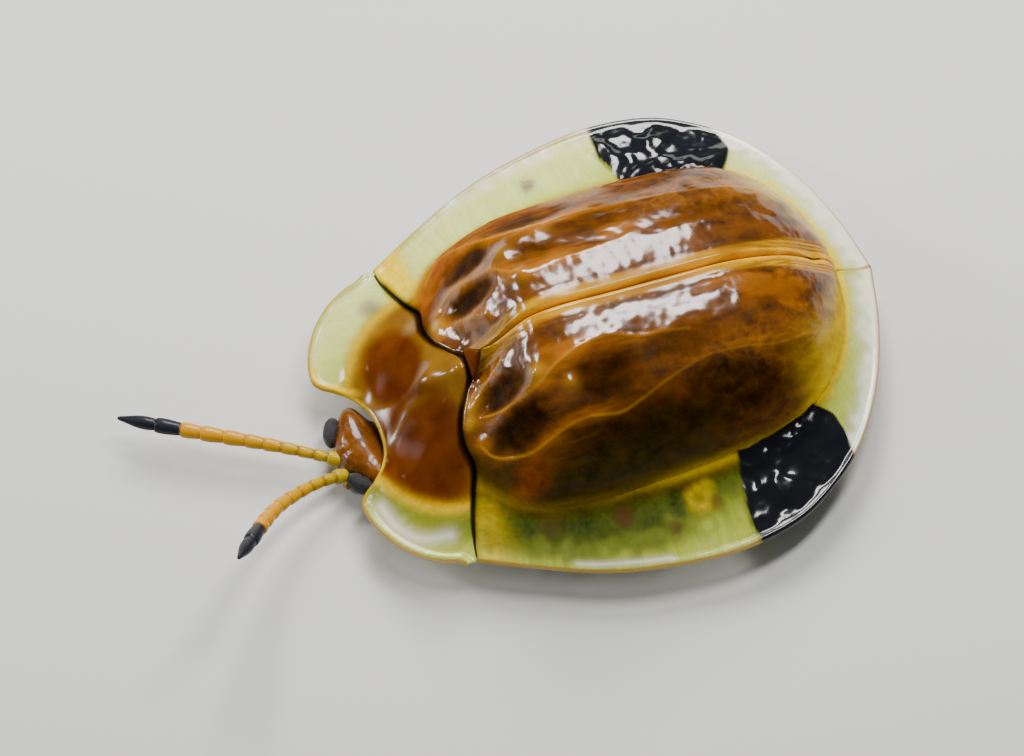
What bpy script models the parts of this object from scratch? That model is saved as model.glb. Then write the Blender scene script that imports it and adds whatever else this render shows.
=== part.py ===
"""A tortoise beetle at life size, standing on its six feet.

Metres, +Z up. The head faces -Y, the beetle's left side is +X and the floor is z = 0. The origin
lies on the floor, below the middle of the whole animal with its feelers.
Sizes below are written in millimetres, and build_object turns them into metres.
"""

import math

import bmesh
import bpy
import numpy as np
from mathutils.bvhtree import BVHTree

MM = 0.001
SMOOTH_ANGLE = math.radians(40)  # edges sharper than this stay sharp

# Driving sizes, in millimetres.
GAP = 0.25  # space between neighbouring pieces
EYE_GAP = 0.10  # space between an eye and its socket
SHELL = 0.5  # thickness of the pronotum and of the wing cases
TRUNK_TOP = 3.6  # no piece of the trunk rises above this
TRUNK_HALF = 2.90  # the trunk's greatest half width
TRUNK_EDGE = 0.22  # least thickness of the trunk's sides
COLLAR_Y = -3.45  # front of the prothorax, which the neck grows from
COLLAR_Z = 0.32  # the collar's lower edge
PROTHORAX_Y = (-2.94, -2.12)
THORAX_Y = (PROTHORAX_Y[1] + GAP, 0.95)
ABDOMEN_Y = (THORAX_Y[1] + GAP, 5.55)
RIM_Z = 1.0  # height of the rim's upper edge above the floor
DISC_EDGE_Z = 1.62  # height where the dome meets the flat margin
BELLY_Z = 0.95  # height of the belly's flat part above the floor
BELLY_CURVE = 0.12  # how much the belly rises towards its sides
KEEL_DEPTH, KEEL_SHARE = 0.07, 0.15  # the ridge between the legs, as depth and share of the width
RING_STEP = 0.13  # how far a ring of the abdomen stands below the next one
TAIL_RISE = 0.20  # how far the belly rises towards the tail
FORWARD = 1.07  # how far the animal's own middle lies behind the rim's middle

# The wing case's outline, as stations from its base to its tip. Each has the seam's y, the edge of
# the dome and the rim, the last two as x and y.
ELYTRON_STATIONS = (
    (-1.30, (2.30, -2.42), (3.70, -3.08)),
    (-0.60, (3.10, -1.65), (4.27, -2.00)),
    (0.15, (3.40, -0.60), (4.85, -0.70)),
    (1.15, (3.50, 0.70), (5.20, 0.60)),
    (2.40, (3.48, 2.20), (5.39, 2.20)),
    (3.45, (3.38, 3.50), (5.22, 3.60)),
    (4.30, (3.12, 4.50), (4.75, 4.60)),
    (5.00, (2.60, 5.30), (3.92, 5.60)),
    (5.50, (1.85, 5.88), (2.70, 6.42)),
    (5.78, (0.98, 6.25), (1.35, 6.95)),
    (5.90, (0.14, 6.40), (0.14, 7.24)),
)
# The wing cases' highest line, along the seam, as y and z.
SEAM_PROFILE = (
    (-2.60, 2.30),
    (-2.10, 2.85),
    (-1.65, 3.40),
    (-1.21, 3.80),
    (-0.55, 4.28),
    (0.15, 4.38),
    (1.15, 4.24),
    (2.40, 4.07),
    (3.44, 3.93),
    (4.14, 3.75),
    (4.74, 3.47),
    (5.29, 3.08),
    (5.68, 2.64),
    (5.97, 2.15),
    (6.20, 1.70),
)
# Where the pronotum meets the wing cases, as x, y and z.
BASE_LINE = (
    (0.00, -2.02, 2.85),
    (0.28, -2.07, 2.72),
    (0.55, -2.24, 2.56),
    (0.90, -2.45, 2.38),
    (1.40, -2.60, 2.14),
    (1.95, -2.54, 1.84),
    (2.35, -2.70, 1.56),
    (2.90, -2.92, 1.27),
    (3.30, -3.03, 1.10),
    (3.75, -3.11, 1.00),
)
# The pronotum's front and side edge, from the middle to the hind corner, as x and y.
PRONOTUM_EDGE = (
    (0.00, -4.18),
    (0.45, -4.23),
    (0.82, -4.40),
    (1.12, -4.70),
    (1.34, -4.98),
    (1.62, -5.12),
    (2.18, -5.01),
    (2.75, -4.70),
    (3.18, -4.30),
    (3.45, -3.88),
    (3.58, -3.52),
    (3.66, -3.38),
)
PRONOTUM_DISC = (2.75, 2.35)  # half width and length of its raised middle
PRONOTUM_RISE = 1.50  # how much that middle stands above the margin
PRONOTUM_ROUND = 1.5  # fullness of that middle
PRONOTUM_LIFT = 0.25  # how much the margin itself rises towards the middle and the back
PRONOTUM_TURN = 0.05  # slope of the front edge, which follows the turned head
FRONT_THINNER = 0.4  # share of the thickness that is left out in front, above the neck

DOME_POWER = 2.2  # above 2, the dome is fuller than an ellipse
DOME_ROUND = 0.6
DISC_SHARE = 0.62  # of the columns, the part that lies on the dome
COLUMN_EASE = 0.9  # below 1, columns lie closer together where the dome is steep
MARGIN_SAG = 0.85  # below 1, the margin falls faster near the dome
TAIL_START, TAIL_DROP = 0.72, 0.22  # where the dome's edge starts to sink, and by how much
BASE_BLEND = 0.17  # share of the length over which the base line turns into the dome
BASE_CORNER = 0.12  # share of the base that lies beside the scutellum
SCUTELLUM_HALF = 0.42
SCUTELLUM_TIP_Y = -1.62

# Antennae: eleven segments, the last two the longest.
SEGMENT_SHARES = (13, 14, 16, 17, 18, 18, 22, 23, 20, 26, 37)
SEGMENT_SHAPE = ((0.06, 0.84), (0.30, 0.98), (0.85, 1.00))  # share of a segment, and its width there
LAST_WIDTH, TIP_WIDTH = 0.80, 0.25
ANTENNA_RADIUS = 0.26
ANTENNA_LEFT = ((0.66, -5.50, 0.70), (0.78, -6.10, 1.02), (1.42, -6.95, 1.80), (3.00, -8.02, 3.68))
ANTENNA_RIGHT = ((0.08, -5.50, 0.62), (-0.62, -6.50, 0.72), (-1.42, -7.90, 0.78), (-2.30, -9.35, 0.76))

HEAD_TURN = math.radians(9.5)  # to the beetle's left, about the neck
NECK_Y = -3.60

EYE_CENTRE = (0.67, -5.06, 0.56)
EYE_RADII = (0.23, 0.27, 0.25)
EYE_SIDES, EYE_STEPS = 16, 8

# The head's cross sections from its front to its neck: y, middle height, half width, half height.
HEAD_SECTIONS = (
    (-5.22, 0.64, 0.16, 0.10),
    (-5.17, 0.66, 0.30, 0.16),
    (-5.08, 0.69, 0.46, 0.22),
    (-4.95, 0.74, 0.66, 0.27),
    (-4.82, 0.78, 0.76, 0.31),
    (-4.70, 0.81, 0.67, 0.34),
    (-4.58, 0.82, 0.53, 0.35),
    (-4.51, 0.76, 0.45, 0.31),
    (-4.44, 0.44, 0.46, 0.14),
    (-4.10, 0.37, 0.44, 0.14),
    (-3.71, 0.44, 0.44, 0.16),
)
HEAD_SQUARENESS = 2.15
# The upper lip's cross sections, as y, half width and half height, and the path of a palp.
LIP_Z = 0.20
LIP_SECTIONS = ((-5.12, 0.16, 0.06), (-5.02, 0.28, 0.10), (-4.78, 0.34, 0.10), (-4.60, 0.20, 0.08))
PALP_PATH = ((0.20, -4.78, 0.19), (0.38, -4.92, 0.17), (0.40, -5.12, 0.16), (0.32, -5.30, 0.16))
PALP_RADII = (0.10, 0.11, 0.12, 0.06)

# Legs of the left side: hip, knee, ankle and the tip of the foot, in plan.
LEGS = {
    "front": ((0.62, -2.48), (2.15, -2.38), (2.25, -3.35), (1.85, -4.15)),
    "middle": ((0.85, -0.60), (2.50, -0.25), (2.75, -1.20), (3.05, -2.00)),
    "hind": ((0.75, 0.85), (2.50, 1.30), (2.75, 2.45), (3.05, 3.35)),
}
HIP_Z, KNEE_Z, ANKLE_Z = 0.44, 0.47, 0.30
HIP_BELOW, HIP_CLEAR = 0.20, 0.33  # how far a hip reaches below the thigh, and stays under the belly
HIP_RADIUS, FEMUR_RADIUS, TIBIA_RADIUS = 0.36, 0.25, 0.21
FOOT_HALF_WIDTH, FOOT_HALF_HEIGHT = 0.26, 0.25
FOOT_Z = 0.15  # height of a foot's middle line, lower than its half height, so that its sole is flat
# Stations of the parts of a leg: share of the length, half width and half height, as shares.
HIP_STATIONS = ((0.00, 0.50, 0.50), (0.35, 0.94, 0.94), (1.00, 1.00, 1.00))
FEMUR_STATIONS = (
    (0.00, 0.70, 0.70),
    (0.25, 1.00, 1.00),
    (0.70, 1.02, 1.00),
    (0.95, 0.75, 0.80),
    (1.06, 0.40, 0.40),
)
TIBIA_STATIONS = ((-0.08, 0.60, 0.60), (0.10, 0.95, 0.95), (0.80, 1.10, 1.00), (1.04, 1.00, 0.90))
FOOT_STATIONS = (
    (-0.10, 0.50, 0.70),
    (0.00, 0.80, 1.00),
    (0.22, 0.95, 1.00),
    (0.27, 0.70, 0.90),
    (0.33, 0.90, 1.00),
    (0.50, 1.10, 0.98),
    (0.55, 0.75, 0.85),
    (0.62, 1.05, 0.90),
    (0.84, 1.25, 0.80),
    (0.92, 0.90, 0.70),
    (1.00, 0.50, 0.60),
)
FOOT_SQUARENESS = 2.6

COLOURS = {
    "wing_case": ((0.42, 0.17, 0.03), 0.16),
    "pronotum": ((0.48, 0.15, 0.02), 0.18),
    "head": ((0.50, 0.16, 0.02), 0.22),
    "eye": ((0.03, 0.03, 0.035), 0.15),
    "antenna": ((0.80, 0.48, 0.06), 0.35),
    "underside": ((0.62, 0.30, 0.05), 0.35),
    "leg": ((0.74, 0.42, 0.07), 0.35),
}


def through(points, at):
    """Points of a smooth curve through the given ones, where at runs from 0 to 1 along their list."""
    points = np.asarray(points, float)
    padded = np.vstack([2 * points[0] - points[1], points, 2 * points[-1] - points[-2]])
    place = np.clip(np.asarray(at, float), 0, 1) * (len(points) - 1)
    span = np.minimum(place.astype(int), len(points) - 2)
    t = (place - span)[..., None]
    a, b, c, d = (padded[span + k] for k in range(4))
    return 0.5 * (
        2 * b + (c - a) * t + (2 * a - 5 * b + 4 * c - d) * t**2 + (3 * b - a - 3 * c + d) * t**3
    )


def height_along(knots, at):
    """The height of a smooth profile of (place, height) knots, read at a place."""
    places, heights = np.array(knots, float).T
    steps, rises = np.diff(places), np.diff(heights)
    slopes = rises / steps
    tangents = np.concatenate([slopes[:1], (slopes[1:] + slopes[:-1]) / 2, slopes[-1:]])
    at = np.clip(at, places[0], places[-1])
    span = np.clip(np.searchsorted(places, at, "right") - 1, 0, len(steps) - 1)
    t, step = (at - places[span]) / steps[span], steps[span]
    return (
        heights[span] * (1 + 2 * t) * (1 - t) ** 2
        + tangents[span] * step * t * (1 - t) ** 2
        + heights[span + 1] * t**2 * (3 - 2 * t)
        + tangents[span + 1] * step * t**2 * (t - 1)
    )


def base_line(x):
    """y and z of the line between the pronotum and the wing cases, at a distance x from the middle."""
    knots = np.array(BASE_LINE)
    return height_along(knots[:, [0, 1]], x), height_along(knots[:, [0, 2]], x)


def elytron_base(across):
    """The front edge of the left wing case, from the seam beside the scutellum to the shoulder."""
    side_x = SCUTELLUM_HALF + GAP
    inner = np.array([[GAP / 2, ELYTRON_STATIONS[0][0]], [side_x, base_line(side_x)[0] + GAP / 2]])
    x = np.interp(across, [0, BASE_CORNER, 1], [GAP / 2, side_x, ELYTRON_STATIONS[0][2][0]])
    y, z = base_line(x)
    y = y + GAP / 2
    on_side = across < BASE_CORNER
    y_side = np.interp(x, inner[:, 0], inner[:, 1])
    z_side = height_along(SEAM_PROFILE, y_side)
    edge_z = base_line(side_x)[1]
    part = np.clip(across / BASE_CORNER, 0, 1)
    z_side = z_side * (1 - part) + edge_z * part
    return np.stack([x, np.where(on_side, y_side, y), np.where(on_side, z_side, z)], -1)


def plan(seam_y, disc, rim, across):
    """Places between the seam, the dome's edge and the rim: x, y, and shares of the dome and the margin."""
    out = np.sin(np.clip(across / DISC_SHARE, 0, 1) * math.pi / 2) ** COLUMN_EASE
    on_margin = np.clip((across - DISC_SHARE) / (1 - DISC_SHARE), 0, 1)
    x = disc[..., 0] * out + (rim[..., 0] - disc[..., 0]) * on_margin
    y = seam_y + (disc[..., 1] - seam_y) * out + (rim[..., 1] - disc[..., 1]) * on_margin
    return x, y, out, on_margin


def shield(along, across):
    """The left wing case's upper surface. along runs from base to tip, and across from seam to rim."""
    along, across = np.broadcast_arrays(np.asarray(along, float), np.asarray(across, float))
    seam_y = through([[s[0]] for s in ELYTRON_STATIONS], along)[..., 0]
    disc = through([s[1] for s in ELYTRON_STATIONS], along)
    rim = through([s[2] for s in ELYTRON_STATIONS], along)
    edge_z = DISC_EDGE_Z - TAIL_DROP * np.clip((along - TAIL_START) / (1 - TAIL_START), 0, 1) ** 2
    x, y, out, on_margin = plan(seam_y, disc, rim, across)

    # The first row is bent onto the base line, and the rows after it follow less and less.
    first_seam_y, first_disc, first_rim = (np.array(part) for part in ELYTRON_STATIONS[0])
    first_x, first_y, _, _ = plan(first_seam_y, first_disc, first_rim, across)
    blend = (1 - np.clip(along / BASE_BLEND, 0, 1)) ** 2
    start = elytron_base(across)
    x = x + (start[..., 0] - first_x) * blend
    y = y + (start[..., 1] - first_y) * blend

    # Near the base, the height follows the place itself, so that the front slopes as one face.
    follow = np.clip(1 - along / (2 * BASE_BLEND), 0, 1)
    seam_z = height_along(SEAM_PROFILE, seam_y) * (1 - follow) + height_along(SEAM_PROFILE, y) * follow
    dome = (1 - out**DOME_POWER) ** DOME_ROUND
    least_height = 0.1
    z = edge_z + np.maximum(seam_z - edge_z, least_height) * dome
    z = z + (RIM_Z - edge_z) * on_margin**MARGIN_SAG
    z = z + (start[..., 2] - z) * blend**1.5
    return np.stack([x, y, z], -1)


def pronotum_point(across, back):
    """The pronotum's upper surface. across runs from -1 to 1, and back from its front to its hind edge."""
    side = np.abs(across)
    front = through(PRONOTUM_EDGE, side)
    rear_ease = 0.92  # places on the hind edge lie a little further out than those in front
    rear_x = side**rear_ease * PRONOTUM_EDGE[-1][0]
    rear_y = base_line(rear_x)[0] - GAP / 2
    x = front[..., 0] * (1 - back) + rear_x * back
    y = front[..., 1] * (1 - back) + rear_y * back
    y = y + PRONOTUM_TURN * np.sign(across) * x * (1 - back) * (1 - side**2)
    lift = PRONOTUM_LIFT * (1 - side**3) * (1 - (1 - back) ** 2)
    z = RIM_Z + lift + pronotum_rise(x, y)
    rear_z = RIM_Z + PRONOTUM_LIFT * (1 - side**3) + pronotum_rise(rear_x, rear_y)
    z = z + (base_line(rear_x)[1] - rear_z) * back**1.5
    return np.stack([np.sign(across) * x, y, z], -1)


def pronotum_rise(x, y):
    """How far the pronotum's rounded middle stands above its margin at a place."""
    half, length = PRONOTUM_DISC
    reach = np.clip(np.hypot(x / half, (y - BASE_LINE[0][1]) / length), 0, 1)
    return PRONOTUM_RISE * (1 - reach**PRONOTUM_ROUND) ** PRONOTUM_ROUND


def grid_normals(points):
    """The upward normal at each point of a grid."""
    down_rows = np.gradient(points, axis=0)
    along_columns = np.gradient(points, axis=1)
    normals = np.cross(down_rows, along_columns)
    normals /= np.linalg.norm(normals, axis=-1, keepdims=True)
    return normals * np.sign(normals[..., 2:])


def straight_below(points, depth):
    """The same grid moved straight down, so far that the plate between them has the depth."""
    steepest = 0.5
    upright = np.maximum(grid_normals(points)[..., 2:], steepest)
    return points - np.array([0, 0, 1.0]) * (depth / upright)


def below(points, depth, straight_rows=(), straight_columns=()):
    """The same grid moved in by a depth. The rows and columns named move straight down instead."""
    moved = points - grid_normals(points) * depth
    down = straight_below(points, depth)
    for row in straight_rows:
        moved[row] = down[row]
    for column in straight_columns:
        moved[:, column] = down[:, column]
    return moved


def build_object(name, points, faces, material):
    """A closed body from points in millimetres and faces, turned outward."""
    mesh = bpy.data.meshes.new(name)
    mesh.from_pydata([tuple(np.asarray(p, float)) for p in points], [], faces)
    shape = bmesh.new()
    shape.from_mesh(mesh)
    if shape.calc_volume(signed=True) < 0:
        bmesh.ops.reverse_faces(shape, faces=shape.faces)
    bmesh.ops.scale(shape, vec=(MM, MM, MM), verts=shape.verts)
    shape.to_mesh(mesh)
    shape.free()
    mesh.materials.append(MATERIALS[material])
    mesh.shade_smooth()
    mesh.set_sharp_from_angle(angle=SMOOTH_ANGLE)
    made = bpy.data.objects.new(name, mesh)
    bpy.context.scene.collection.objects.link(made)
    return made


def build_plate(name, top, bottom, material):
    """A closed plate between two grids of points, split into triangles alike on both faces."""
    rows, columns = top.shape[:2]
    shifted = [np.array([0, FORWARD, 0]) + grid.reshape(-1, 3) for grid in (top, bottom)]
    points = np.concatenate(shifted)
    lower = rows * columns
    faces = []
    for i in range(rows - 1):
        for j in range(columns - 1):
            a, b = i * columns + j, i * columns + j + 1
            c, d = a + columns, b + columns
            for p, q, r in ((a, b, d), (a, d, c)):
                faces.append((p, q, r))
                faces.append((lower + r, lower + q, lower + p))
    edge = list(range(columns))
    edge += [i * columns + columns - 1 for i in range(1, rows)]
    edge += [(rows - 1) * columns + j for j in range(columns - 2, -1, -1)]
    edge += [i * columns for i in range(rows - 2, 0, -1)]
    for a, b in zip(edge, edge[1:] + edge[:1]):
        faces.append((b, a, lower + a))
        faces.append((b, lower + a, lower + b))
    return build_object(name, points, faces, material)


def build_loft(name, rings, material):
    """A closed body through rings of points, each end drawn in to its middle."""
    rings = [np.asarray(ring, float) + np.array([0, FORWARD, 0]) for ring in rings]
    sides = len(rings[0])
    points = [rings[0].mean(0), *np.concatenate(rings), rings[-1].mean(0)]
    last = len(points) - 1
    faces = []
    for k in range(sides):
        n = (k + 1) % sides
        faces.append((0, 1 + n, 1 + k))
        for r in range(len(rings) - 1):
            a, b = 1 + r * sides + k, 1 + r * sides + n
            faces.append((a, b, b + sides, a + sides))
        faces.append((last, last - sides + k, last - sides + n))
    return build_object(name, points, faces, material)


def ring_around(centre, direction, half_width, half_height, sides, squareness=2.0):
    """A ring of points around a direction. Its width lies level, and squareness above 2 makes it boxier."""
    direction = np.asarray(direction, float) / np.linalg.norm(direction)
    level = np.cross(direction, [0, 0, 1.0])
    level /= np.linalg.norm(level)
    upright = np.cross(level, direction)
    points = []
    for k in range(sides):
        angle = 2 * math.pi * (k + 0.5) / sides
        c, s = math.cos(angle), math.sin(angle)
        along_x = math.copysign(abs(c) ** (2 / squareness), c)
        along_y = math.copysign(abs(s) ** (2 / squareness), s)
        points.append(centre + level * half_width * along_x + upright * half_height * along_y)
    return points


def mirrored(points):
    return [np.array([-1, 1, 1]) * np.asarray(p, float) for p in points]


def turned(ring):
    """A ring of the head, turned with the head about the neck."""
    c, s = math.cos(HEAD_TURN), math.sin(HEAD_TURN)
    return [(x * c - (y - NECK_Y) * s, NECK_Y + x * s + (y - NECK_Y) * c, z) for x, y, z in ring]


def keep_largest(thing):
    """Keeps only the largest closed surface of a mesh."""
    shape = bmesh.new()
    shape.from_mesh(thing.data)
    left, islands = set(shape.verts), []
    while left:
        front = [left.pop()]
        island = set(front)
        while front:
            for edge in front.pop().link_edges:
                for vert in edge.verts:
                    if vert in left:
                        left.discard(vert)
                        island.add(vert)
                        front.append(vert)
        islands.append(island)
    islands.sort(key=len)
    for island in islands[:-1]:
        bmesh.ops.delete(shape, geom=list(island), context="VERTS")
    shape.to_mesh(thing.data)
    shape.free()


def apply_boolean(thing, helpers, operation):
    """Joins closed pieces to a thing, or cuts them from it, in one step, and removes them."""
    group = bpy.data.collections.new(thing.name + "_helpers")
    bpy.context.scene.collection.children.link(group)
    for helper in helpers:
        bpy.context.scene.collection.objects.unlink(helper)
        group.objects.link(helper)
        helper.hide_render = True
        helper.display_type = "WIRE"
    step = thing.modifiers.new(operation.title(), "BOOLEAN")
    step.operation = operation
    step.operand_type = "COLLECTION"
    step.collection = group
    step.solver = "EXACT"
    bpy.context.view_layer.update()
    evaluated = thing.evaluated_get(bpy.context.evaluated_depsgraph_get())
    joined = bpy.data.meshes.new_from_object(evaluated)
    thing.modifiers.clear()
    thing.data = joined
    for helper in helpers:
        bpy.data.objects.remove(helper, do_unlink=True)
    bpy.data.collections.remove(group)
    keep_largest(thing)
    thing.data.shade_smooth()
    thing.data.set_sharp_from_angle(angle=SMOOTH_ANGLE)


def make_materials():
    made = {}
    for name, (colour, roughness) in COLOURS.items():
        material = bpy.data.materials.new(name)
        material.use_nodes = True
        shader = material.node_tree.nodes["Principled BSDF"]
        shader.inputs["Base Color"].default_value = (*colour, 1)
        shader.inputs["Roughness"].default_value = roughness
        shader.inputs["Metallic"].default_value = 0
        made[name] = material
    return made


def make_elytra(rows=27, columns=17):
    along = np.linspace(0, 1, rows)[:, None]
    across = np.linspace(0, 1, columns)[None]
    top = shield(along, across)
    top[..., 0] += GAP / 2 * (1 - across) ** 3 * (top[..., 0] < GAP / 2)
    top[..., 0] = np.maximum(top[..., 0], GAP / 2)
    bottom = below(top, SHELL, straight_rows=(0,), straight_columns=(0,))
    bottom[..., 0] = np.maximum(bottom[..., 0], GAP / 2)
    turn = np.array([-1, 1, 1])
    build_plate("elytron_left", top, bottom, "wing_case")
    build_plate("elytron_right", (top * turn)[:, ::-1], (bottom * turn)[:, ::-1], "wing_case")


def make_pronotum(rows=9, columns=35):
    across = np.linspace(-1, 1, columns)[None]
    back = np.linspace(0, 1, rows)[:, None]
    top = pronotum_point(across, back)
    thin_part = 0.4  # of the length, the part over which the plate thickens
    thinner = FRONT_THINNER * (1 - np.clip(back / thin_part, 0, 1))
    bottom = straight_below(top, SHELL * (1 - thinner)[..., None])
    build_plate("pronotum", top, bottom, "pronotum")


def make_scutellum(rows=4, columns=5):
    front_y = BASE_LINE[0][1] + GAP / 2
    taper, crown = 0.8, 0.1
    back = np.linspace(0, 1, rows)[:, None]
    across = np.linspace(-1, 1, columns)[None]
    half = SCUTELLUM_HALF * (1 - taper * back)
    y = front_y + (SCUTELLUM_TIP_Y - front_y) * back + 0 * across
    z = height_along(SEAM_PROFILE, y) - crown * across**2
    top = np.stack([half * across, y, z], -1)
    bottom = top - np.array([0, 0, SHELL])
    build_plate("scutellum", top, bottom, "pronotum")


def roof_under(names):
    """A function that gives the highest place for a piece of the trunk under the nodes named."""
    graph = bpy.context.evaluated_depsgraph_get()
    trees = [BVHTree.FromObject(bpy.data.objects[name], graph) for name in names]
    flattest = 0.3

    def roof(x, y):
        found = TRUNK_TOP
        x = math.copysign(max(abs(x), GAP), x)  # beside the seam, not up through it
        for tree in trees:
            spot, normal, _, _ = tree.ray_cast((x * MM, (y + FORWARD) * MM, 0), (0, 0, 1))
            if spot is not None:
                found = min(found, spot.z / MM - GAP / max(abs(normal.z), flattest))
        return found

    return roof


def trunk_block(name, rows, half_width, roof, belly, columns=13):
    """A piece of the trunk between the belly and the shell above it, as wide as fits there."""
    spread = np.sin(np.linspace(-1, 1, columns) * math.pi / 2)
    top = np.zeros((len(rows), columns, 3))
    bottom = np.zeros_like(top)
    for i, y in enumerate(rows):
        step = 0.02
        widths = np.arange(half_width(y), GAP, -step)
        half = next(width for width in widths if roof(width, y) > belly(1, y) + TRUNK_EDGE)
        for j, across in enumerate(spread):
            x = across * half
            bottom[i, j] = x, y, belly(across, y)
            top[i, j] = x, y, roof(x, y)
    build_plate(name, top, bottom, "underside")


def make_prothorax():
    """The prothorax, with a low collar in front of the first legs."""
    front, back = PROTHORAX_Y
    collar_half, body_half = 1.20, 1.35
    below_belly, above_belly = 0.12, 0.25
    ramp = 0.08  # over which the collar steps up to the body
    under_shell = roof_under(["pronotum", "elytron_left", "elytron_right"])

    def belly(across, y):
        return COLLAR_Z if y < front else BELLY_Z - below_belly

    def half_width(y):
        return collar_half if y < front else body_half

    def roof(x, y):
        return min(under_shell(x, y), BELLY_Z + above_belly)

    rows = [COLLAR_Y, front - ramp, front, *np.linspace(front, back, 4)[1:]]
    trunk_block("prothorax", rows, half_width, roof, belly)


def make_thorax():
    front, back = THORAX_Y
    front_half, widening = 1.7, 0.9
    front_height, climb = 0.5, 0.95
    under_shell = roof_under(["elytron_left", "elytron_right", "scutellum", "pronotum"])

    def belly(across, y):
        keel = KEEL_DEPTH * math.exp(-((across / KEEL_SHARE) ** 2))
        return BELLY_Z + BELLY_CURVE * abs(across) ** 3 - keel

    def half_width(y):
        return min(TRUNK_HALF, front_half + widening * (y - front))

    def roof(x, y):
        return min(under_shell(x, y), BELLY_Z + front_height + climb * (y - front))

    trunk_block("thorax", np.linspace(front, back, 9), half_width, roof, belly)


def make_abdomen(rings=5):
    front, back = ABDOMEN_Y
    length = (back - front) / rings
    above_thorax = 0.10  # how much higher than the thorax the first ring starts
    blunt = 0.3  # how far behind the last ring the outline would close
    ring_rows = (0, 0.5, 0.95)  # where a ring's rows lie, as shares of its length

    def belly(across, y):
        place = (y - front) / length + 1e-6
        rise = TAIL_RISE * (place / rings) ** 3
        return BELLY_Z + above_thorax + BELLY_CURVE * abs(across) ** 3 - RING_STEP * (place % 1) + rise

    def half_width(y):
        share = (y - front) / (back + blunt - front)
        return TRUNK_HALF * math.sqrt(1 - share**4)

    rows = [front + (ring + share) * length for ring in range(rings) for share in ring_rows]
    trunk_block("abdomen", rows, half_width, roof_under(["elytron_left", "elytron_right"]), belly)


def ellipsoid_rings(centre, radii, sides, steps):
    """Rings of an ellipsoid around the x axis."""
    rings = []
    for step in range(steps):
        lift = math.pi * (step + 0.5) / steps - math.pi / 2
        ring = []
        for k in range(sides):
            angle = 2 * math.pi * k / sides
            ring.append((
                centre[0] + radii[0] * math.sin(lift),
                centre[1] + radii[1] * math.cos(lift) * math.cos(angle),
                centre[2] + radii[2] * math.cos(lift) * math.sin(angle),
            ))
        rings.append(ring)
    return rings


def eye_rings(side, extra):
    """One eye's rings, or with an extra size those of its socket, turned with the head."""
    rings = ellipsoid_rings(EYE_CENTRE, np.array(EYE_RADII) + extra, EYE_SIDES, EYE_STEPS)
    return [turned(ring if side == 1 else mirrored(ring)) for ring in rings]


def make_head(sections=15, sides=22):
    rings = []
    for y, middle, half_width, half_height in through(HEAD_SECTIONS, np.linspace(0, 1, sections)):
        middle = np.array([0, y, middle])
        ring = ring_around(middle, (0, 1, 0), half_width, half_height, sides, HEAD_SQUARENESS)
        rings.append(turned(ring))
    head = build_loft("head", rings, "head")
    sockets = [build_loft(f"socket_{side}", eye_rings(side, EYE_GAP), "head") for side in (1, -1)]
    apply_boolean(head, sockets, "DIFFERENCE")


def make_eyes():
    for name, side in (("eye_left", 1), ("eye_right", -1)):
        build_loft(name, eye_rings(side, 0), "eye")


def make_mouthparts(lip_sides=10, palp_sides=8):
    """The upper lip, with a palp on each side."""
    lip = [
        turned(ring_around(np.array([0, y, LIP_Z]), (0, 1, 0), half_width, half_height, lip_sides, 3))
        for y, half_width, half_height in LIP_SECTIONS
    ]
    mouth = build_loft("mouthparts", lip, "head")
    palps = []
    for side in (1, -1):
        rings = []
        for k, (point, radius) in enumerate(zip(PALP_PATH, PALP_RADII)):
            before, after = PALP_PATH[max(k - 1, 0)], PALP_PATH[min(k + 1, len(PALP_PATH) - 1)]
            direction = np.subtract(after, before)
            rings.append(ring_around(np.array(point), direction, radius, radius, palp_sides))
        rings = [turned(ring if side == 1 else mirrored(ring)) for ring in rings]
        palps.append(build_loft(f"palp_{side}", rings, "head"))
    apply_boolean(mouth, palps, "UNION")


def antenna_stations():
    """Places along an antenna and its radius there, segment by segment."""
    ends = np.cumsum((0,) + SEGMENT_SHARES) / sum(SEGMENT_SHARES)
    stations = []
    for start, end in zip(ends, ends[1:]):
        for share, width in SEGMENT_SHAPE:
            stations.append([start + share * (end - start), ANTENNA_RADIUS * width])
    stations[-1][1] = ANTENNA_RADIUS * LAST_WIDTH
    stations.append([1.0, ANTENNA_RADIUS * TIP_WIDTH])
    return stations


def make_antenna(name, path, sides=8):
    fine = through(path, np.linspace(0, 1, 200))
    run = np.concatenate([[0], np.cumsum(np.linalg.norm(np.diff(fine, axis=0), axis=1))])
    run /= run[-1]

    def spot(place):
        return np.array([np.interp(place, run, fine[:, k]) for k in range(3)])

    look_ahead = 0.02
    rings = []
    for place, radius in antenna_stations():
        direction = spot(min(place + look_ahead, 1)) - spot(max(place - look_ahead, 0))
        rings.append(ring_around(spot(place), direction, radius, radius, sides))
    build_loft(name, rings, "antenna")


def limb(name, start, end, stations, half_width, half_height, squareness=2.0, sides=8):
    """A straight limb piece. Its stations are shares of the length, the half width and half height."""
    start, end = np.array(start, float), np.array(end, float)
    length = end - start
    rings = []
    for share, width, height in stations:
        size = (half_width * width, half_height * height)
        rings.append(ring_around(start + length * share, length, *size, sides, squareness))
    return build_loft(name, rings, "leg")


def floor_cutter(middle):
    """A slab around a place, with its upper face on the floor."""
    reach, depth = 4, 1
    corners = ((-reach, -depth), (reach, -depth), (reach, 0), (-reach, 0))
    rings = [[(middle[0] + x, middle[1] + y, z) for x, z in corners] for y in (-reach, reach)]
    return build_loft("floor_cut", rings, "leg")


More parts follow.
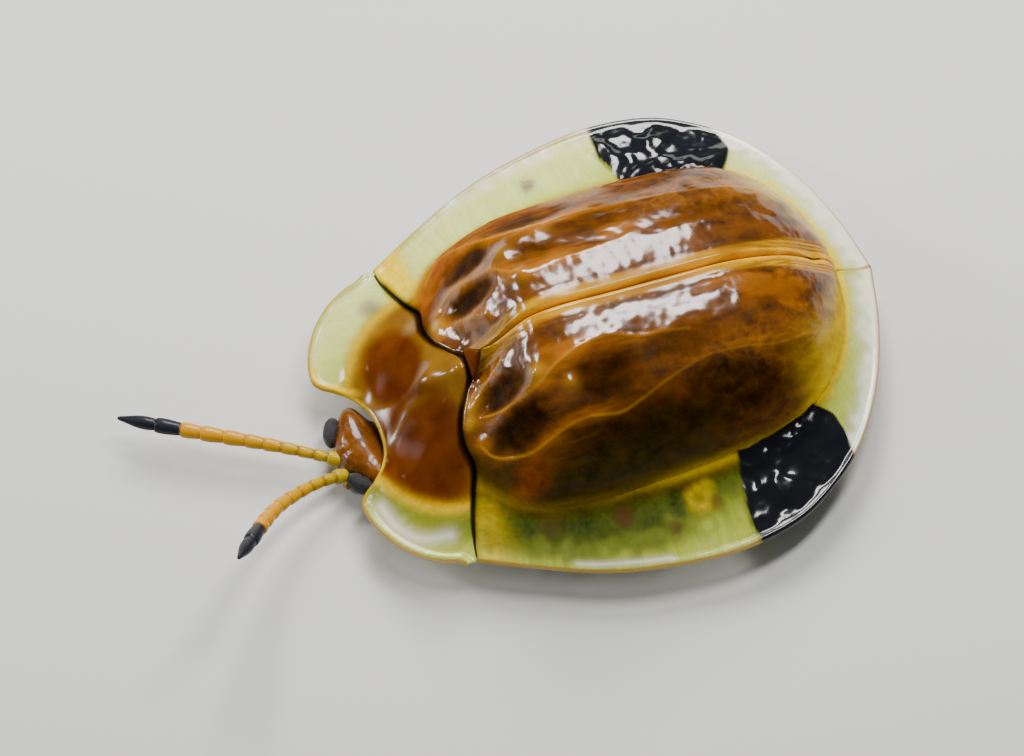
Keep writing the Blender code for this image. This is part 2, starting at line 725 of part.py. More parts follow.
def make_leg(pair, side):
    name = f"leg_{pair}_{'left' if side == 1 else 'right'}"
    turn = np.array([side, 1, 1])
    hip, knee, ankle, toe = (
        np.array([*spot, z]) * turn for spot, z in zip(LEGS[pair], (HIP_Z, KNEE_Z, ANKLE_Z, FOOT_Z))
    )
    heel = np.array([*ankle[:2], FOOT_Z])
    hip_foot = hip - [0, 0, HIP_BELOW]
    hip_top = np.array([hip[0] + 1e-3, hip[1], BELLY_Z - HIP_CLEAR])  # not quite upright, for its rings
    leg = limb(name, hip_foot, hip_top, HIP_STATIONS, HIP_RADIUS, HIP_RADIUS)
    helpers = [
        limb("femur", hip, knee, FEMUR_STATIONS, FEMUR_RADIUS, FEMUR_RADIUS),
        limb("tibia", knee, ankle, TIBIA_STATIONS, TIBIA_RADIUS, TIBIA_RADIUS),
        limb("foot", heel, toe, FOOT_STATIONS, FOOT_HALF_WIDTH, FOOT_HALF_HEIGHT, FOOT_SQUARENESS),
    ]
    apply_boolean(leg, helpers, "UNION")
    apply_boolean(leg, [floor_cutter((ankle + toe) / 2)], "DIFFERENCE")


for old in list(bpy.data.objects):
    bpy.data.objects.remove(old, do_unlink=True)

MATERIALS = make_materials()
make_elytra()
make_pronotum()
make_scutellum()
make_prothorax()
make_thorax()
make_abdomen()
make_head()
make_eyes()
make_mouthparts()
make_antenna("antenna_left", ANTENNA_LEFT)
make_antenna("antenna_right", ANTENNA_RIGHT)
for leg_pair in LEGS:
    for leg_side in (1, -1):
        make_leg(leg_pair, leg_side)
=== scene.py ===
# %% [markdown]
# # A tortoise beetle
#
# This script dresses the solid model of a tortoise beetle. The real one is 12 mm long: a domed
# amber shell with a clear flat rim, on six short legs. The solids give the places, and this file
# makes the surfaces that a visitor would see. Lengths are in millimetres, counted from the middle
# of the shell: x to the beetle's left, y to its tail, z up from the floor.

# %% Load the solid model
import math
from types import SimpleNamespace

import bmesh
import bpy
import numpy as np
from mathutils import Matrix, Vector, noise


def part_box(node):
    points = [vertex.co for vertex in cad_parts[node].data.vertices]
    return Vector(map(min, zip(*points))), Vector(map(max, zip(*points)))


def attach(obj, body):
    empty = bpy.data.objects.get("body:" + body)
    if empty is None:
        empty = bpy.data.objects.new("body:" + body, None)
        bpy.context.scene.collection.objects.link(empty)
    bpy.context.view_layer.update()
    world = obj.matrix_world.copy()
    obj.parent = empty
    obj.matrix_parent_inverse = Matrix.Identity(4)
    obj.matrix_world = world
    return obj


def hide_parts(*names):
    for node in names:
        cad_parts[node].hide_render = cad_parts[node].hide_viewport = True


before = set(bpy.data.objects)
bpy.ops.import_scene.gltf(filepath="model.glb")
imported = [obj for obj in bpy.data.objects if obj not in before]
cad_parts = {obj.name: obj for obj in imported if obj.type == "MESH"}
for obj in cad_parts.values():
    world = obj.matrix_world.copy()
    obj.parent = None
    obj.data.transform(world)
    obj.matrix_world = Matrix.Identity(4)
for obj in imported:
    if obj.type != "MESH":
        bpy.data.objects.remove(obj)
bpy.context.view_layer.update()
MM = 0.001
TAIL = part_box("elytron_left")[1][1] / MM
SHELL_END_Y = 7.24
FORWARD = TAIL - SHELL_END_Y
SHIFT = np.array([0, FORWARD, 0])
print("the shell's middle lies", round(FORWARD, 2), "mm behind the model's middle")

# %% [markdown]
# The photograph was taken from the beetle's left, high above it. A long lens at a distance of
# fifteen body lengths keeps the shell's outline free of strong perspective. The camera is placed
# by three vectors that are square to one another: towards the lens, to its right, and up.

# %% Place the camera
VIEW_AZIMUTH, VIEW_ELEVATION, VIEW_ROLL = (math.radians(a) for a in (79.26, 65.43, -8.50))
VIEW_DISTANCE = 180
VIEW_CENTRE = Vector((-0.545, -0.95, 0.164))
IMAGE_WIDTH_PX = 1024
FOCAL_PX = 8235.1
SENSOR_WIDTH = 36
NEAREST_M, FARTHEST_M = 0.01, 10

towards = Vector((
    math.sin(VIEW_AZIMUTH) * math.cos(VIEW_ELEVATION),
    -math.cos(VIEW_AZIMUTH) * math.cos(VIEW_ELEVATION),
    math.sin(VIEW_ELEVATION),
))
level = (-towards).cross(Vector((0, 0, 1))).normalized()
upright = level.cross(-towards)
right = level * math.cos(VIEW_ROLL) + upright * math.sin(VIEW_ROLL)
above = upright * math.cos(VIEW_ROLL) - level * math.sin(VIEW_ROLL)

lens = bpy.data.cameras.new("camera")
lens.sensor_width = SENSOR_WIDTH
lens.lens = FOCAL_PX / IMAGE_WIDTH_PX * SENSOR_WIDTH
lens.clip_start, lens.clip_end = NEAREST_M, FARTHEST_M
camera = bpy.data.objects.new("camera", lens)
bpy.context.scene.collection.objects.link(camera)
spot = (VIEW_CENTRE + Vector((0, FORWARD, 0)) + towards * VIEW_DISTANCE) * MM
turn = Matrix((right, above, towards)).transposed().to_4x4()
camera.matrix_world = Matrix.Translation(spot) @ turn
bpy.context.scene.camera = camera
print("camera at, mm:", [round(v / MM, 1) for v in spot])

# %% [markdown]
# Glossy shells are mostly seen by what they mirror, so the lights are soft panels. The two top
# panels make the pale streaks on both sides of the seam. The front and middle panels make the
# small gleams on the head, the shoulders and the pronotum. A dim pale room fills the shadows.

# %% Light the beetle
PANEL_DISTANCE = 60
WARM_WHITE, ROSY_WHITE = (1.0, 0.96, 0.95), (1.0, 0.97, 0.98)
# Each panel's direction from the beetle, its width and height, its power in watts and its colour.
PANELS = {
    "near_top_panel": ((-0.13, 0.34, 0.92), 9, 28, 0.026, WARM_WHITE),
    "far_top_panel": ((-0.64, 0.20, 0.72), 21, 30, 0.050, WARM_WHITE),
    "front_panel": ((-0.35, -0.90, 0.22), 9, 7, 0.007, ROSY_WHITE),
    "middle_panel": ((-0.42, -0.70, 0.58), 9, 9, 0.010, ROSY_WHITE),
}
ROOM_COLOUR, ROOM_STRENGTH = (0.80, 0.83, 0.84, 1), 0.20

for name, (direction, width, height, power, colour) in PANELS.items():
    light = bpy.data.lights.new(name, "AREA")
    light.shape = "RECTANGLE"
    light.size, light.size_y = width * MM, height * MM
    light.energy = power
    light.color = colour
    panel = bpy.data.objects.new(name, light)
    bpy.context.scene.collection.objects.link(panel)
    direction = Vector(direction).normalized()
    panel.location = (direction * PANEL_DISTANCE + Vector((0, FORWARD, 0))) * MM
    panel.rotation_euler = direction.to_track_quat("Z", "Y").to_euler()

world = bpy.data.worlds.new("pale_room")
bpy.context.scene.world = world
world.use_nodes = True
room = world.node_tree.nodes["Background"]
room.inputs["Color"].default_value = ROOM_COLOUR
room.inputs["Strength"].default_value = ROOM_STRENGTH

# %% [markdown]
# The floor is a plain pale sheet. It is far larger than the view, so that no edge shows.

# %% Lay the floor
def plain_material(name, colour, roughness):
    """A material of one colour, to be refined by its nodes."""
    material = bpy.data.materials.new(name)
    material.use_nodes = True
    shader = material.node_tree.nodes["Principled BSDF"]
    shader.inputs["Base Color"].default_value = (*colour, 1)
    shader.inputs["Roughness"].default_value = roughness
    return material


FLOOR_SIZE = 400
FLOOR_COLOUR, FLOOR_ROUGHNESS = (0.66, 0.68, 0.64), 0.7
floor_mesh = bpy.data.meshes.new("floor")
half_floor = FLOOR_SIZE / 2 * MM
corners = [(half_floor * x, half_floor * y, 0) for x, y in ((-1, -1), (1, -1), (1, 1), (-1, 1))]
floor_mesh.from_pydata(corners, [], [(0, 1, 2, 3)])
floor_mesh.materials.append(plain_material("floor_sheet", FLOOR_COLOUR, FLOOR_ROUGHNESS))
floor = bpy.data.objects.new("floor", floor_mesh)
bpy.context.scene.collection.objects.link(floor)
print("floor:", FLOOR_SIZE, "mm square")

# %% [markdown]
# Smooth curves through a few points shape everything here. `through` reads a curve in the plane or
# in space at any share of its length, and `height_along` reads a profile, a list of places and
# heights, at any place. `soft_step`, `soft_fall` and `bell` are the soft edges of every marking.

# %% Curve helpers
LINE_STEPS = 60


def through(points, at):
    """Points of a smooth curve through the given ones, where at runs from 0 to 1 along their list."""
    points = np.asarray(points, float)
    padded = np.vstack([2 * points[0] - points[1], points, 2 * points[-1] - points[-2]])
    place = np.clip(np.asarray(at, float), 0, 1) * (len(points) - 1)
    span = np.minimum(place.astype(int), len(points) - 2)
    t = (place - span)[..., None]
    a, b, c, d = (padded[span + k] for k in range(4))
    return 0.5 * (
        2 * b + (c - a) * t + (2 * a - 5 * b + 4 * c - d) * t**2 + (3 * b - a - 3 * c + d) * t**3
    )


def height_along(knots, at):
    """The height of a smooth profile of (place, height) knots, read at a place."""
    places, heights = np.array(knots, float).T
    steps, rises = np.diff(places), np.diff(heights)
    slopes = rises / steps
    tangents = np.concatenate([slopes[:1], (slopes[1:] + slopes[:-1]) / 2, slopes[-1:]])
    at = np.clip(at, places[0], places[-1])
    span = np.clip(np.searchsorted(places, at, "right") - 1, 0, len(steps) - 1)
    t, step = (at - places[span]) / steps[span], steps[span]
    return (
        heights[span] * (1 + 2 * t) * (1 - t) ** 2
        + tangents[span] * step * t * (1 - t) ** 2
        + heights[span + 1] * t**2 * (3 - 2 * t)
        + tangents[span + 1] * step * t**2 * (t - 1)
    )


def soft_step(low, high, value):
    """Rises smoothly from 0 at low to 1 at high."""
    t = np.clip((np.asarray(value, float) - low) / (high - low), 0, 1)
    return t * t * (3 - 2 * t)


def soft_fall(low, high, value):
    """Falls smoothly from 1 at low to 0 at high."""
    return 1 - soft_step(low, high, value)


def bell(value, width):
    """1 at 0, and soon nothing beyond the width on either side."""
    return np.exp(-((value / width) ** 2))


def reach_of(x, y, centre, radii):
    """How far a place lies from an oval's middle: 1 on its edge."""
    return np.hypot((x - centre[0]) / radii[0], (y - centre[1]) / radii[1])


def distance_to_line(x, y, line):
    """Distance in plan from each place to a smooth line through a few points."""
    run = through(line, np.linspace(0, 1, LINE_STEPS))
    nearest = np.full(np.shape(x), np.inf)
    for (ax, ay), (bx, by) in zip(run[:, :2], run[1:, :2]):
        length = (bx - ax) ** 2 + (by - ay) ** 2 + 1e-12
        t = np.clip(((x - ax) * (bx - ax) + (y - ay) * (by - ay)) / length, 0, 1)
        nearest = np.minimum(nearest, np.hypot(x - ax - t * (bx - ax), y - ay - t * (by - ay)))
    return nearest


print("a profile read half way:", float(height_along([(0, 0), (1, 2)], 0.5)))

# %% [markdown]
# The wing cases cover the whole body. Each is a dome that turns into a flat, clear rim. Their
# outline is measured at eleven stations from the base to the tail: where the seam is, where the
# dome ends, and where the rim ends. One function gives the upper surface at any place, with
# `along` from base to tail and `across` from seam to rim.

# %% The wing cases' surface
# Each station: y at the seam, (x, y) where the dome ends, and (x, y) where the rim ends.
ELYTRON_STATIONS = (
    (-1.30, (2.30, -2.42), (3.70, -3.08)),
    (-0.60, (3.10, -1.65), (4.27, -2.00)),
    (0.15, (3.40, -0.60), (4.85, -0.70)),
    (1.15, (3.50, 0.70), (5.20, 0.60)),
    (2.40, (3.48, 2.20), (5.39, 2.20)),
    (3.45, (3.38, 3.50), (5.22, 3.60)),
    (4.30, (3.12, 4.50), (4.75, 4.60)),
    (5.00, (2.60, 5.30), (3.92, 5.60)),
    (5.50, (1.85, 5.88), (2.70, 6.42)),
    (5.78, (0.98, 6.25), (1.35, 6.95)),
    (5.90, (0.02, 6.40), (0.02, 7.24)),
)
# The seam seen from the side, as (y, z), and the front edge of the wing cases, as (x, y, z).
SEAM_PROFILE = (
    (-2.60, 2.30), (-2.10, 2.85), (-1.65, 3.40), (-1.21, 3.80), (-0.55, 4.28),
    (0.15, 4.38), (1.15, 4.24), (2.40, 4.07), (3.44, 3.93), (4.14, 3.75),
    (4.74, 3.47), (5.29, 3.08), (5.68, 2.64), (5.97, 2.15), (6.20, 1.70),
)
BASE_LINE = (
    (0.00, -2.02, 2.85), (0.28, -2.07, 2.72), (0.55, -2.24, 2.56), (0.90, -2.45, 2.38),
    (1.40, -2.60, 2.14), (1.95, -2.54, 1.84), (2.35, -2.70, 1.56), (2.90, -2.92, 1.27),
    (3.30, -3.03, 1.10), (3.75, -3.11, 1.00),
)
MIDDLE_BACK_Y = BASE_LINE[0][1]
RIM_Z = 1.0
DISC_EDGE_Z = 1.62
TAIL_DROP, TAIL_FROM = 0.22, 0.72
DOME_POWER, DOME_ROUND = 2.2, 0.6
DISC_SHARE = 0.62
BASE_BLEND = 0.17
SCUTELLUM_HALF, SCUTELLUM_TIP_Y = 0.42, -1.62
SCUTELLUM_SHARE = 0.12
SEAM_GAP = 0.020


def base_line(x):
    """y and z of the line between the pronotum and the wing cases, at a distance x from the middle."""
    knots = np.array(BASE_LINE)
    return height_along(knots[:, [0, 1]], x), height_along(knots[:, [0, 2]], x)


def elytron_base(across):
    """The front edge of the left wing case, from the seam beside the scutellum to the shoulder."""
    side_x = SCUTELLUM_HALF + SEAM_GAP
    inner = np.array([[SEAM_GAP / 2, SCUTELLUM_TIP_Y], [side_x, base_line(side_x)[0] + SEAM_GAP / 2]])
    shoulder_x = ELYTRON_STATIONS[0][2][0]
    x = np.interp(across, [0, SCUTELLUM_SHARE, 1], [SEAM_GAP / 2, side_x, shoulder_x])
    y, z = base_line(x)
    y_side = np.interp(x, inner[:, 0], inner[:, 1])
    part = np.clip(across / SCUTELLUM_SHARE, 0, 1)
    z_side = height_along(SEAM_PROFILE, y_side) * (1 - part) + base_line(side_x)[1] * part
    on_side = across < SCUTELLUM_SHARE
    return np.stack([x, np.where(on_side, y_side, y + SEAM_GAP / 2), np.where(on_side, z_side, z)], -1)


def spread(along_row, across):
    """Places in plan between the seam, the dome's edge and the rim, for stations read along the body."""
    seam_y, disc, rim = along_row
    out = np.sin(np.clip(across / DISC_SHARE, 0, 1) * math.pi / 2) ** 0.9
    on_margin = np.clip((across - DISC_SHARE) / (1 - DISC_SHARE), 0, 1)
    x = disc[..., 0] * out + (rim[..., 0] - disc[..., 0]) * on_margin
    y = seam_y + (disc[..., 1] - seam_y) * out + (rim[..., 1] - disc[..., 1]) * on_margin
    return x, y, out, on_margin


def shield(along, across):
    """The left wing case's upper surface."""
    along, across = np.broadcast_arrays(np.asarray(along, float), np.asarray(across, float))
    seam_y = through([[s[0]] for s in ELYTRON_STATIONS], along)[..., 0]
    disc = through([s[1] for s in ELYTRON_STATIONS], along)
    rim = through([s[2] for s in ELYTRON_STATIONS], along)
    edge_z = DISC_EDGE_Z - TAIL_DROP * np.clip((along - TAIL_FROM) / (1 - TAIL_FROM), 0, 1) ** 2
    x, y, out, on_margin = spread((seam_y, disc, rim), across)
    first = tuple(np.array(part, float) for part in ELYTRON_STATIONS[0])
    first_x, first_y, _, _ = spread(first, across)
    start = elytron_base(across)
    blend = (1 - np.clip(along / BASE_BLEND, 0, 1)) ** 2
    x = x + (start[..., 0] - first_x) * blend
    y = y + (start[..., 1] - first_y) * blend
    follow = np.clip(1 - along / (2 * BASE_BLEND), 0, 1)
    seam_z = height_along(SEAM_PROFILE, seam_y) * (1 - follow) + height_along(SEAM_PROFILE, y) * follow
    dome = (1 - out**DOME_POWER) ** DOME_ROUND
    z = edge_z + np.maximum(seam_z - edge_z, 0.1) * dome + (RIM_Z - edge_z) * on_margin**0.85
    z = z + (start[..., 2] - z) * blend**1.5
    return np.stack([np.maximum(x, SEAM_GAP / 2), y, z], -1)


print("highest point of the shell, mm:", round(float(shield(np.linspace(0, 1, 99), 0.0)[..., 2].max()), 2))

# %% [markdown]
# A shell is a grid of points with a wall under it. The wall follows the surface's own normals.
# Where it should end in a round edge, both faces close in on their middle. Numbers that belong to
# a place, such as how clear or how dark the shell is there, go with the mesh as attributes, and
# the material reads them.

# %% Build a shell from a grid
THINNEST_SHARE = 0.02


def grid_normals(points):
    """The upward normal at each point of a grid."""
    normals = np.cross(np.gradient(points, axis=0), np.gradient(points, axis=1))
    normals /= np.linalg.norm(normals, axis=-1, keepdims=True) + 1e-12
    return normals * np.where(normals[..., 2:] < 0, -1, 1)


def finished_mesh(name, points, faces, material, masks=None):
    """A smooth mesh object from points in millimetres, facing outward, with its attributes."""
    mesh = bpy.data.meshes.new(name)
    mesh.from_pydata((np.asarray(points, float) + SHIFT).tolist(), [], faces)
    shape = bmesh.new()
    shape.from_mesh(mesh)
    if shape.calc_volume(signed=True) < 0:
        bmesh.ops.reverse_faces(shape, faces=shape.faces)
    bmesh.ops.scale(shape, vec=(MM, MM, MM), verts=shape.verts)
    shape.to_mesh(mesh)
    shape.free()
    for mask, values in (masks or {}).items():
        add_attribute(mesh, mask, values)
    mesh.materials.append(material)
    mesh.shade_smooth()
    thing = bpy.data.objects.new(name, mesh)
    bpy.context.scene.collection.objects.link(thing)
    return thing


def add_attribute(mesh, name, values):
    """Gives each point of a mesh its own number, or its own three."""
    values = np.asarray(values, np.float32)
    kind, field = ("FLOAT", "value") if values.ndim == 1 else ("FLOAT_VECTOR", "vector")
    mesh.attributes.new(name, kind, "POINT").data.foreach_set(field, values.ravel())


def grid_faces(rows, columns, closed=False):
    """The four-sided faces of a grid. A closed one joins its last column to its first."""
    pairs = [(j, (j + 1) % columns) for j in range(columns if closed else columns - 1)]
    return [
        (start + a, start + b, start + b + columns, start + a + columns)
        for start in range(0, (rows - 1) * columns, columns) for a, b in pairs
    ]


def shell_object(name, top, bottom, material, masks, mirror=False):
    """A closed shell between two grids."""
    rows, columns = top.shape[:2]
    points = np.concatenate([top.reshape(-1, 3), bottom.reshape(-1, 3)])
    if mirror:
        points = points * np.array([-1, 1, 1])
    lower = rows * columns
    faces = grid_faces(rows, columns)
    faces += [tuple(reversed([lower + v for v in face])) for face in grid_faces(rows, columns)]
    edge = list(range(columns))
    edge += [i * columns + columns - 1 for i in range(1, rows)]
    edge += [(rows - 1) * columns + j for j in range(columns - 2, -1, -1)]
    edge += [i * columns for i in range(rows - 2, 0, -1)]
    for a, b in zip(edge, edge[1:] + edge[:1]):
        faces.append((b, a, lower + a, lower + b))
    both = {mask: np.concatenate([v.reshape(lower, -1).squeeze()] * 2) for mask, v in masks.items()}
    return finished_mesh(name, points, faces, material, both)


def rounded(distance, radius):
    """How much of its thickness a wall keeps at a distance from its edge."""
    share = np.clip(1 - distance / radius, 0, 1)
    return np.sqrt(np.maximum(1 - share**2, THINNEST_SHARE**2))


def wall_faces(surface, normals, thick, kept):
    """Both faces of a wall under a surface. `kept` rounds off its edges."""
    half = np.asarray(thick) / 2
    middle = surface - normals * half[..., None]
    half_wall = normals * (half * kept)[..., None]
    return middle + half_wall, middle - half_wall


def grain(points, size, offset=0.0):
    """Soft random bumps of about a given size, from -1 to 1, the same on every run."""
    flat = points.reshape(-1, 3) / size + offset
    values = [noise.noise(Vector(p)) for p in flat]
    return np.array(values).reshape(points.shape[:-1])


def dress(thing, slot, *nodes):
    """Lets a piece ride on the body and stand for the solids it replaces; its slot is not used."""
    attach(thing, "root")
    if nodes:
        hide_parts(*nodes)
    return thing


print("a wall keeps", round(float(rounded(0.01, 0.05)), 2), "of its thickness 0.01 mm from its edge")

# %% [markdown]
# A finish is a small network of nodes. These helpers add a node, set or link its sockets, and
# blend two colours or numbers. `tint` lays one colour over another where a mask says so, so that
# each finish below reads from its first colour to its last.

# %% Node helpers
NOISE_ROUGHNESS = 0.55


def fill(tree, node, sockets):
    """Sets or links a node's inputs by name, or by number where names repeat: i0 is the first."""
    for key, value in sockets.items():
        socket = node.inputs[int(key[1:]) if key[0] == "i" and key[1:].isdigit() else key]
        if isinstance(value, bpy.types.NodeSocket):
            tree.links.new(value, socket)
        else:
            socket.default_value = value
    return node


def add_node(tree, kind, settings=None, **sockets):
    """Adds a node. Settings are its properties, and sockets its inputs, as values or links."""
    made = tree.nodes.new(kind)
    for key, value in (settings or {}).items():
        setattr(made, key, value)
    return fill(tree, made, sockets)


def blend_colour(tree, share, first, second):
    """A colour between two, by a share from 0 to 1."""
    colours = {
        key: colour if isinstance(colour, bpy.types.NodeSocket) else (*colour, 1)
        for key, colour in (("i6", first), ("i7", second))
    }
    return add_node(tree, "ShaderNodeMix", {"data_type": "RGBA"}, i0=share, **colours).outputs[2]


def blend_value(tree, share, first, second):
    """A number between two, by a share from 0 to 1."""
    made = add_node(tree, "ShaderNodeMix", {"data_type": "FLOAT"}, i0=share, i2=first, i3=second)
    return made.outputs[0]


def combine(tree, operation, first, second):
    """Two numbers combined, such as multiplied."""
    return add_node(tree, "ShaderNodeMath", {"operation": operation}, i0=first, i1=second).outputs[0]


def times(tree, first, second):
    """Two numbers multiplied. Either may be the name of a mask."""
    first, second = (mask_of(tree, part) if isinstance(part, str) else part for part in (first, second))
    return combine(tree, "MULTIPLY", first, second)


def mask_of(tree, name):
    """A mask's number at each point of the mesh."""
    return add_node(tree, "ShaderNodeAttribute", {"attribute_name": name}).outputs["Fac"]


def tint(tree, colour, mask, over, strength=None):
    """A colour with another one laid over it, where a mask, given by name or as a number, is high."""
    if strength is not None:
        mask = times(tree, mask, strength)
    elif isinstance(mask, str):
        mask = mask_of(tree, mask)
    return blend_colour(tree, mask, colour, over)


def place(tree, stretch=(1, 1, 1)):
    """Object coordinates in millimetres, stretched along the axes."""
    spot = add_node(tree, "ShaderNodeTexCoord").outputs["Object"]
    scale = tuple(s / MM for s in stretch)
    return add_node(tree, "ShaderNodeMapping", Vector=spot, Scale=scale).outputs["Vector"]


def cloud(tree, where, scale, detail=3.0, low=0.3, high=0.7):
    """Soft noise from 0 to 1. Scale is in cells to the millimetre."""
    texture = add_node(
        tree, "ShaderNodeTexNoise", Vector=where, Scale=scale, Detail=detail, Roughness=NOISE_ROUGHNESS)
    return add_node(tree, "ShaderNodeMapRange", i0=texture.outputs["Fac"], i1=low, i2=high).outputs[0]


def fade_out(tree, value, low, high):
    """A number that falls from 1 to 0 as a value goes from low to high."""
    return add_node(tree, "ShaderNodeMapRange", i0=value, i1=low, i2=high, i3=1.0, i4=0.0).outputs[0]


def network(tree, where, scale, width):
    """Thin lines of a net, 1 on a line and 0 between. Width is a share of a cell."""
    cells = add_node(
        tree, "ShaderNodeTexVoronoi", {"feature": "DISTANCE_TO_EDGE"}, Vector=where, Scale=scale)
    return fade_out(tree, cells.outputs["Distance"], 0.0, width)


def add_dents(tree, shader, height, strength, depth):
    """Fine dents in a finish's shine, of a depth in millimetres."""
    bump = add_node(tree, "ShaderNodeBump", Strength=strength, Distance=depth * MM, Height=height)
    fill(tree, shader, {"Normal": bump.outputs["Normal"]})


def new_finish(name, colour, roughness):
    """A new material, its tree and its shader."""
    material = plain_material(name, colour, roughness)
    return material, material.node_tree, material.node_tree.nodes["Principled BSDF"]


print("node helpers ready")

# %% [markdown]
# The amber dome isn't one colour. Pale veins run back from the shoulders, the shell between them
# is nearly black, and a golden band with thin dark lines follows the seam. The flat rim is as
# clear as a fingernail, but behind the middle each side has a black patch with a wrinkled,
# wet-looking surface. Each of these is a mask: a number from 0 to 1 at every point of the mesh,
# worked out from the distance to a line or from the place on the shell.

# %% Lists of the wing cases' markings
VEINS = {
    "left": (
        ((0.75, -1.97), (0.57, -1.56), (0.47, -1.28)),
        ((1.20, -2.05), (1.41, -1.62), (1.50, -1.18), (1.50, -0.75), (1.31, -0.42), (1.15, 0.0),
         (1.03, 0.45), (0.99, 1.03), (1.18, 1.61), (1.21, 2.10), (1.30, 2.70)),
        ((1.71, -2.23), (2.03, -2.07), (2.31, -1.75), (2.50, -1.34), (2.49, -0.91), (2.42, -0.40),
         (2.40, 0.10), (2.49, 0.70), (2.37, 1.23), (2.12, 2.00), (1.92, 2.90), (1.93, 3.70),
         (1.99, 4.42), (1.81, 5.29)),
    ),
    "right": (
        ((1.07, -2.09), (0.99, -1.80), (0.77, -1.45), (0.64, -1.25)),
        ((1.55, -2.15), (1.68, -1.90), (1.70, -1.60), (1.55, -1.20), (1.42, -0.85), (1.12, -0.55),
         (0.93, -0.15), (0.94, 0.15), (1.02, 0.60), (1.10, 1.30), (1.20, 2.20)),
        ((2.51, -2.14), (2.68, -1.98), (2.86, -1.62), (2.60, -1.15), (2.36, -0.78), (2.20, -0.20),
         (2.15, 0.40), (2.30, 1.20), (2.20, 2.20), (2.05, 3.40), (1.90, 4.60), (1.70, 5.40)),
    ),
}
# Dark windows between the veins: x, y, their half lengths along x and y, and how dark they are.
WINDOWS = {
    "left": (
        (1.10, -1.55, 0.36, 0.62, 1.0), (1.98, -1.35, 0.52, 0.72, 1.0), (1.72, 0.70, 0.52, 0.80, 0.8),
        (2.90, 1.30, 0.62, 1.90, 1.0), (2.68, 3.20, 0.68, 1.40, 0.95), (1.55, 2.50, 0.35, 0.90, 0.45),
        (2.45, 4.60, 0.55, 0.70, 0.5), (0.95, 4.80, 0.40, 0.80, 0.2),
    ),
    "right": (
        (1.22, -1.45, 0.30, 0.55, 1.0), (2.10, -1.35, 0.36, 0.60, 1.0), (1.55, 0.10, 0.35, 0.55, 0.5),
        (2.75, 0.30, 0.45, 1.10, 0.7), (1.95, 1.60, 0.35, 0.90, 0.4), (2.80, 3.00, 0.45, 1.20, 0.6),
        (1.40, 3.60, 0.30, 1.00, 0.4),
    ),
}
# Low knobs that catch the light: x, y, radius, height, and how golden they are.
KNOBS = {
    "left": (
        (1.24, -0.72, 0.25, 0.075, 0.80), (1.72, -0.12, 0.22, 0.055, 0.45), (0.86, -2.16, 0.22, 0.070, 1.0),
        (1.14, -2.32, 0.18, 0.050, 1.0), (2.05, -0.50, 0.28, 0.040, 0.0), (2.50, 0.15, 0.26, 0.035, 0.0),
    ),
    "right": (
        (1.24, -2.26, 0.24, 0.080, 1.0), (1.70, -0.55, 0.30, 0.060, 0.35), (2.10, 0.40, 0.30, 0.040, 0.25),
        (0.95, -0.35, 0.25, 0.040, 0.3), (2.55, -0.70, 0.30, 0.050, 0.0),
    ),
}
# The golden band reaches this far from the seam, and thin dark lines run in it and on its edge.
SEAM_BAND = 0.31
FINE_LINES = (0.175, 0.255)
# The black patch, from its front line to its rear line: (x, y) along each.
PATCH = {
    "left": (
        ((3.10, 3.02), (3.50, 2.93), (3.87, 2.87), (4.34, 2.78), (4.83, 2.74), (5.40, 2.82)),
        ((2.80, 4.55), (3.00, 4.98), (3.18, 5.21), (3.38, 5.30), (3.91, 5.38), (4.40, 5.30)),
    ),
    "right": (
        ((3.40, 2.72), (3.97, 2.57), (4.46, 2.42), (4.86, 2.41), (5.40, 2.46)),
        ((3.10, 4.88), (3.28, 5.01), (3.56, 5.15), (3.91, 5.18), (4.26, 5.06), (4.70, 4.75)),
    ),
}
# Brown stains in the clear rim: x, y, radius, and how dark they are.
STAINS = {
    "left": ((3.94, 0.18, 0.34, 0.9), (4.51, 1.17, 0.22, 0.8), (3.80, 1.60, 0.18, 0.6),
             (4.25, 2.18, 0.22, 0.6), (3.55, -1.35, 0.45, 0.5)),
    "right": ((4.35, 0.75, 0.26, 0.9), (3.60, -0.60, 0.20, 0.3)),
}
# A golden blotch in the near rim (x, y, radius), a rusty spot on each shoulder, and a painted gleam streak
# along the near rim.
BLOTCH = (4.08, 1.88, 0.40)
SHOULDER_SPOT, SHOULDER_RADII = (2.85, -1.50), (0.45, 0.70)
RIM_GLEAM = ((4.50, -1.10), (4.68, -0.62), (4.91, 0.21), (5.05, 0.89))
VEIN_WIDTH, GLOW_WIDTH, DARK_LINE_WIDTH, GLEAM_WIDTH = 0.024, 0.20, 0.032, 0.07
for name, lists in (("veins", VEINS), ("windows", WINDOWS), ("knobs", KNOBS), ("stains", STAINS)):
    print(name + ":", sum(len(marks) for marks in lists.values()))

# %% [markdown]
# Each marking is a short function of the place on the shell, so it stays sharp however finely the
# shell is divided. Its argument, `at`, holds the places, distances and soft zones of all points.

# %% Single markings
def vein_masks(at):
    """Thin veins, and the warm glow on both sides of them, strongest in front."""
    veins, glow = np.zeros_like(at.x), np.zeros_like(at.x)
    fading = 1 - 0.65 * soft_step(-0.2, 2.6, at.y)
    for line in VEINS[at.side]:
        away = distance_to_line(at.x, at.y, line)
        veins = np.maximum(veins, bell(away, VEIN_WIDTH) * fading)
        glow = np.maximum(glow, bell(away, GLOW_WIDTH))
    return veins * at.dome, glow * (1 - 0.75 * soft_step(0.0, 1.8, at.y)) * at.dome


def window_mask(at):
    """The dark windows, with soft edges."""
    dark = np.zeros_like(at.x)
    for x, y, half_x, half_y, strength in WINDOWS[at.side]:
        reach = reach_of(at.x, at.y, (x, y), (half_x, half_y))
        dark = np.maximum(dark, strength * soft_fall(0.45, 1.30, reach))
    return dark * at.dome


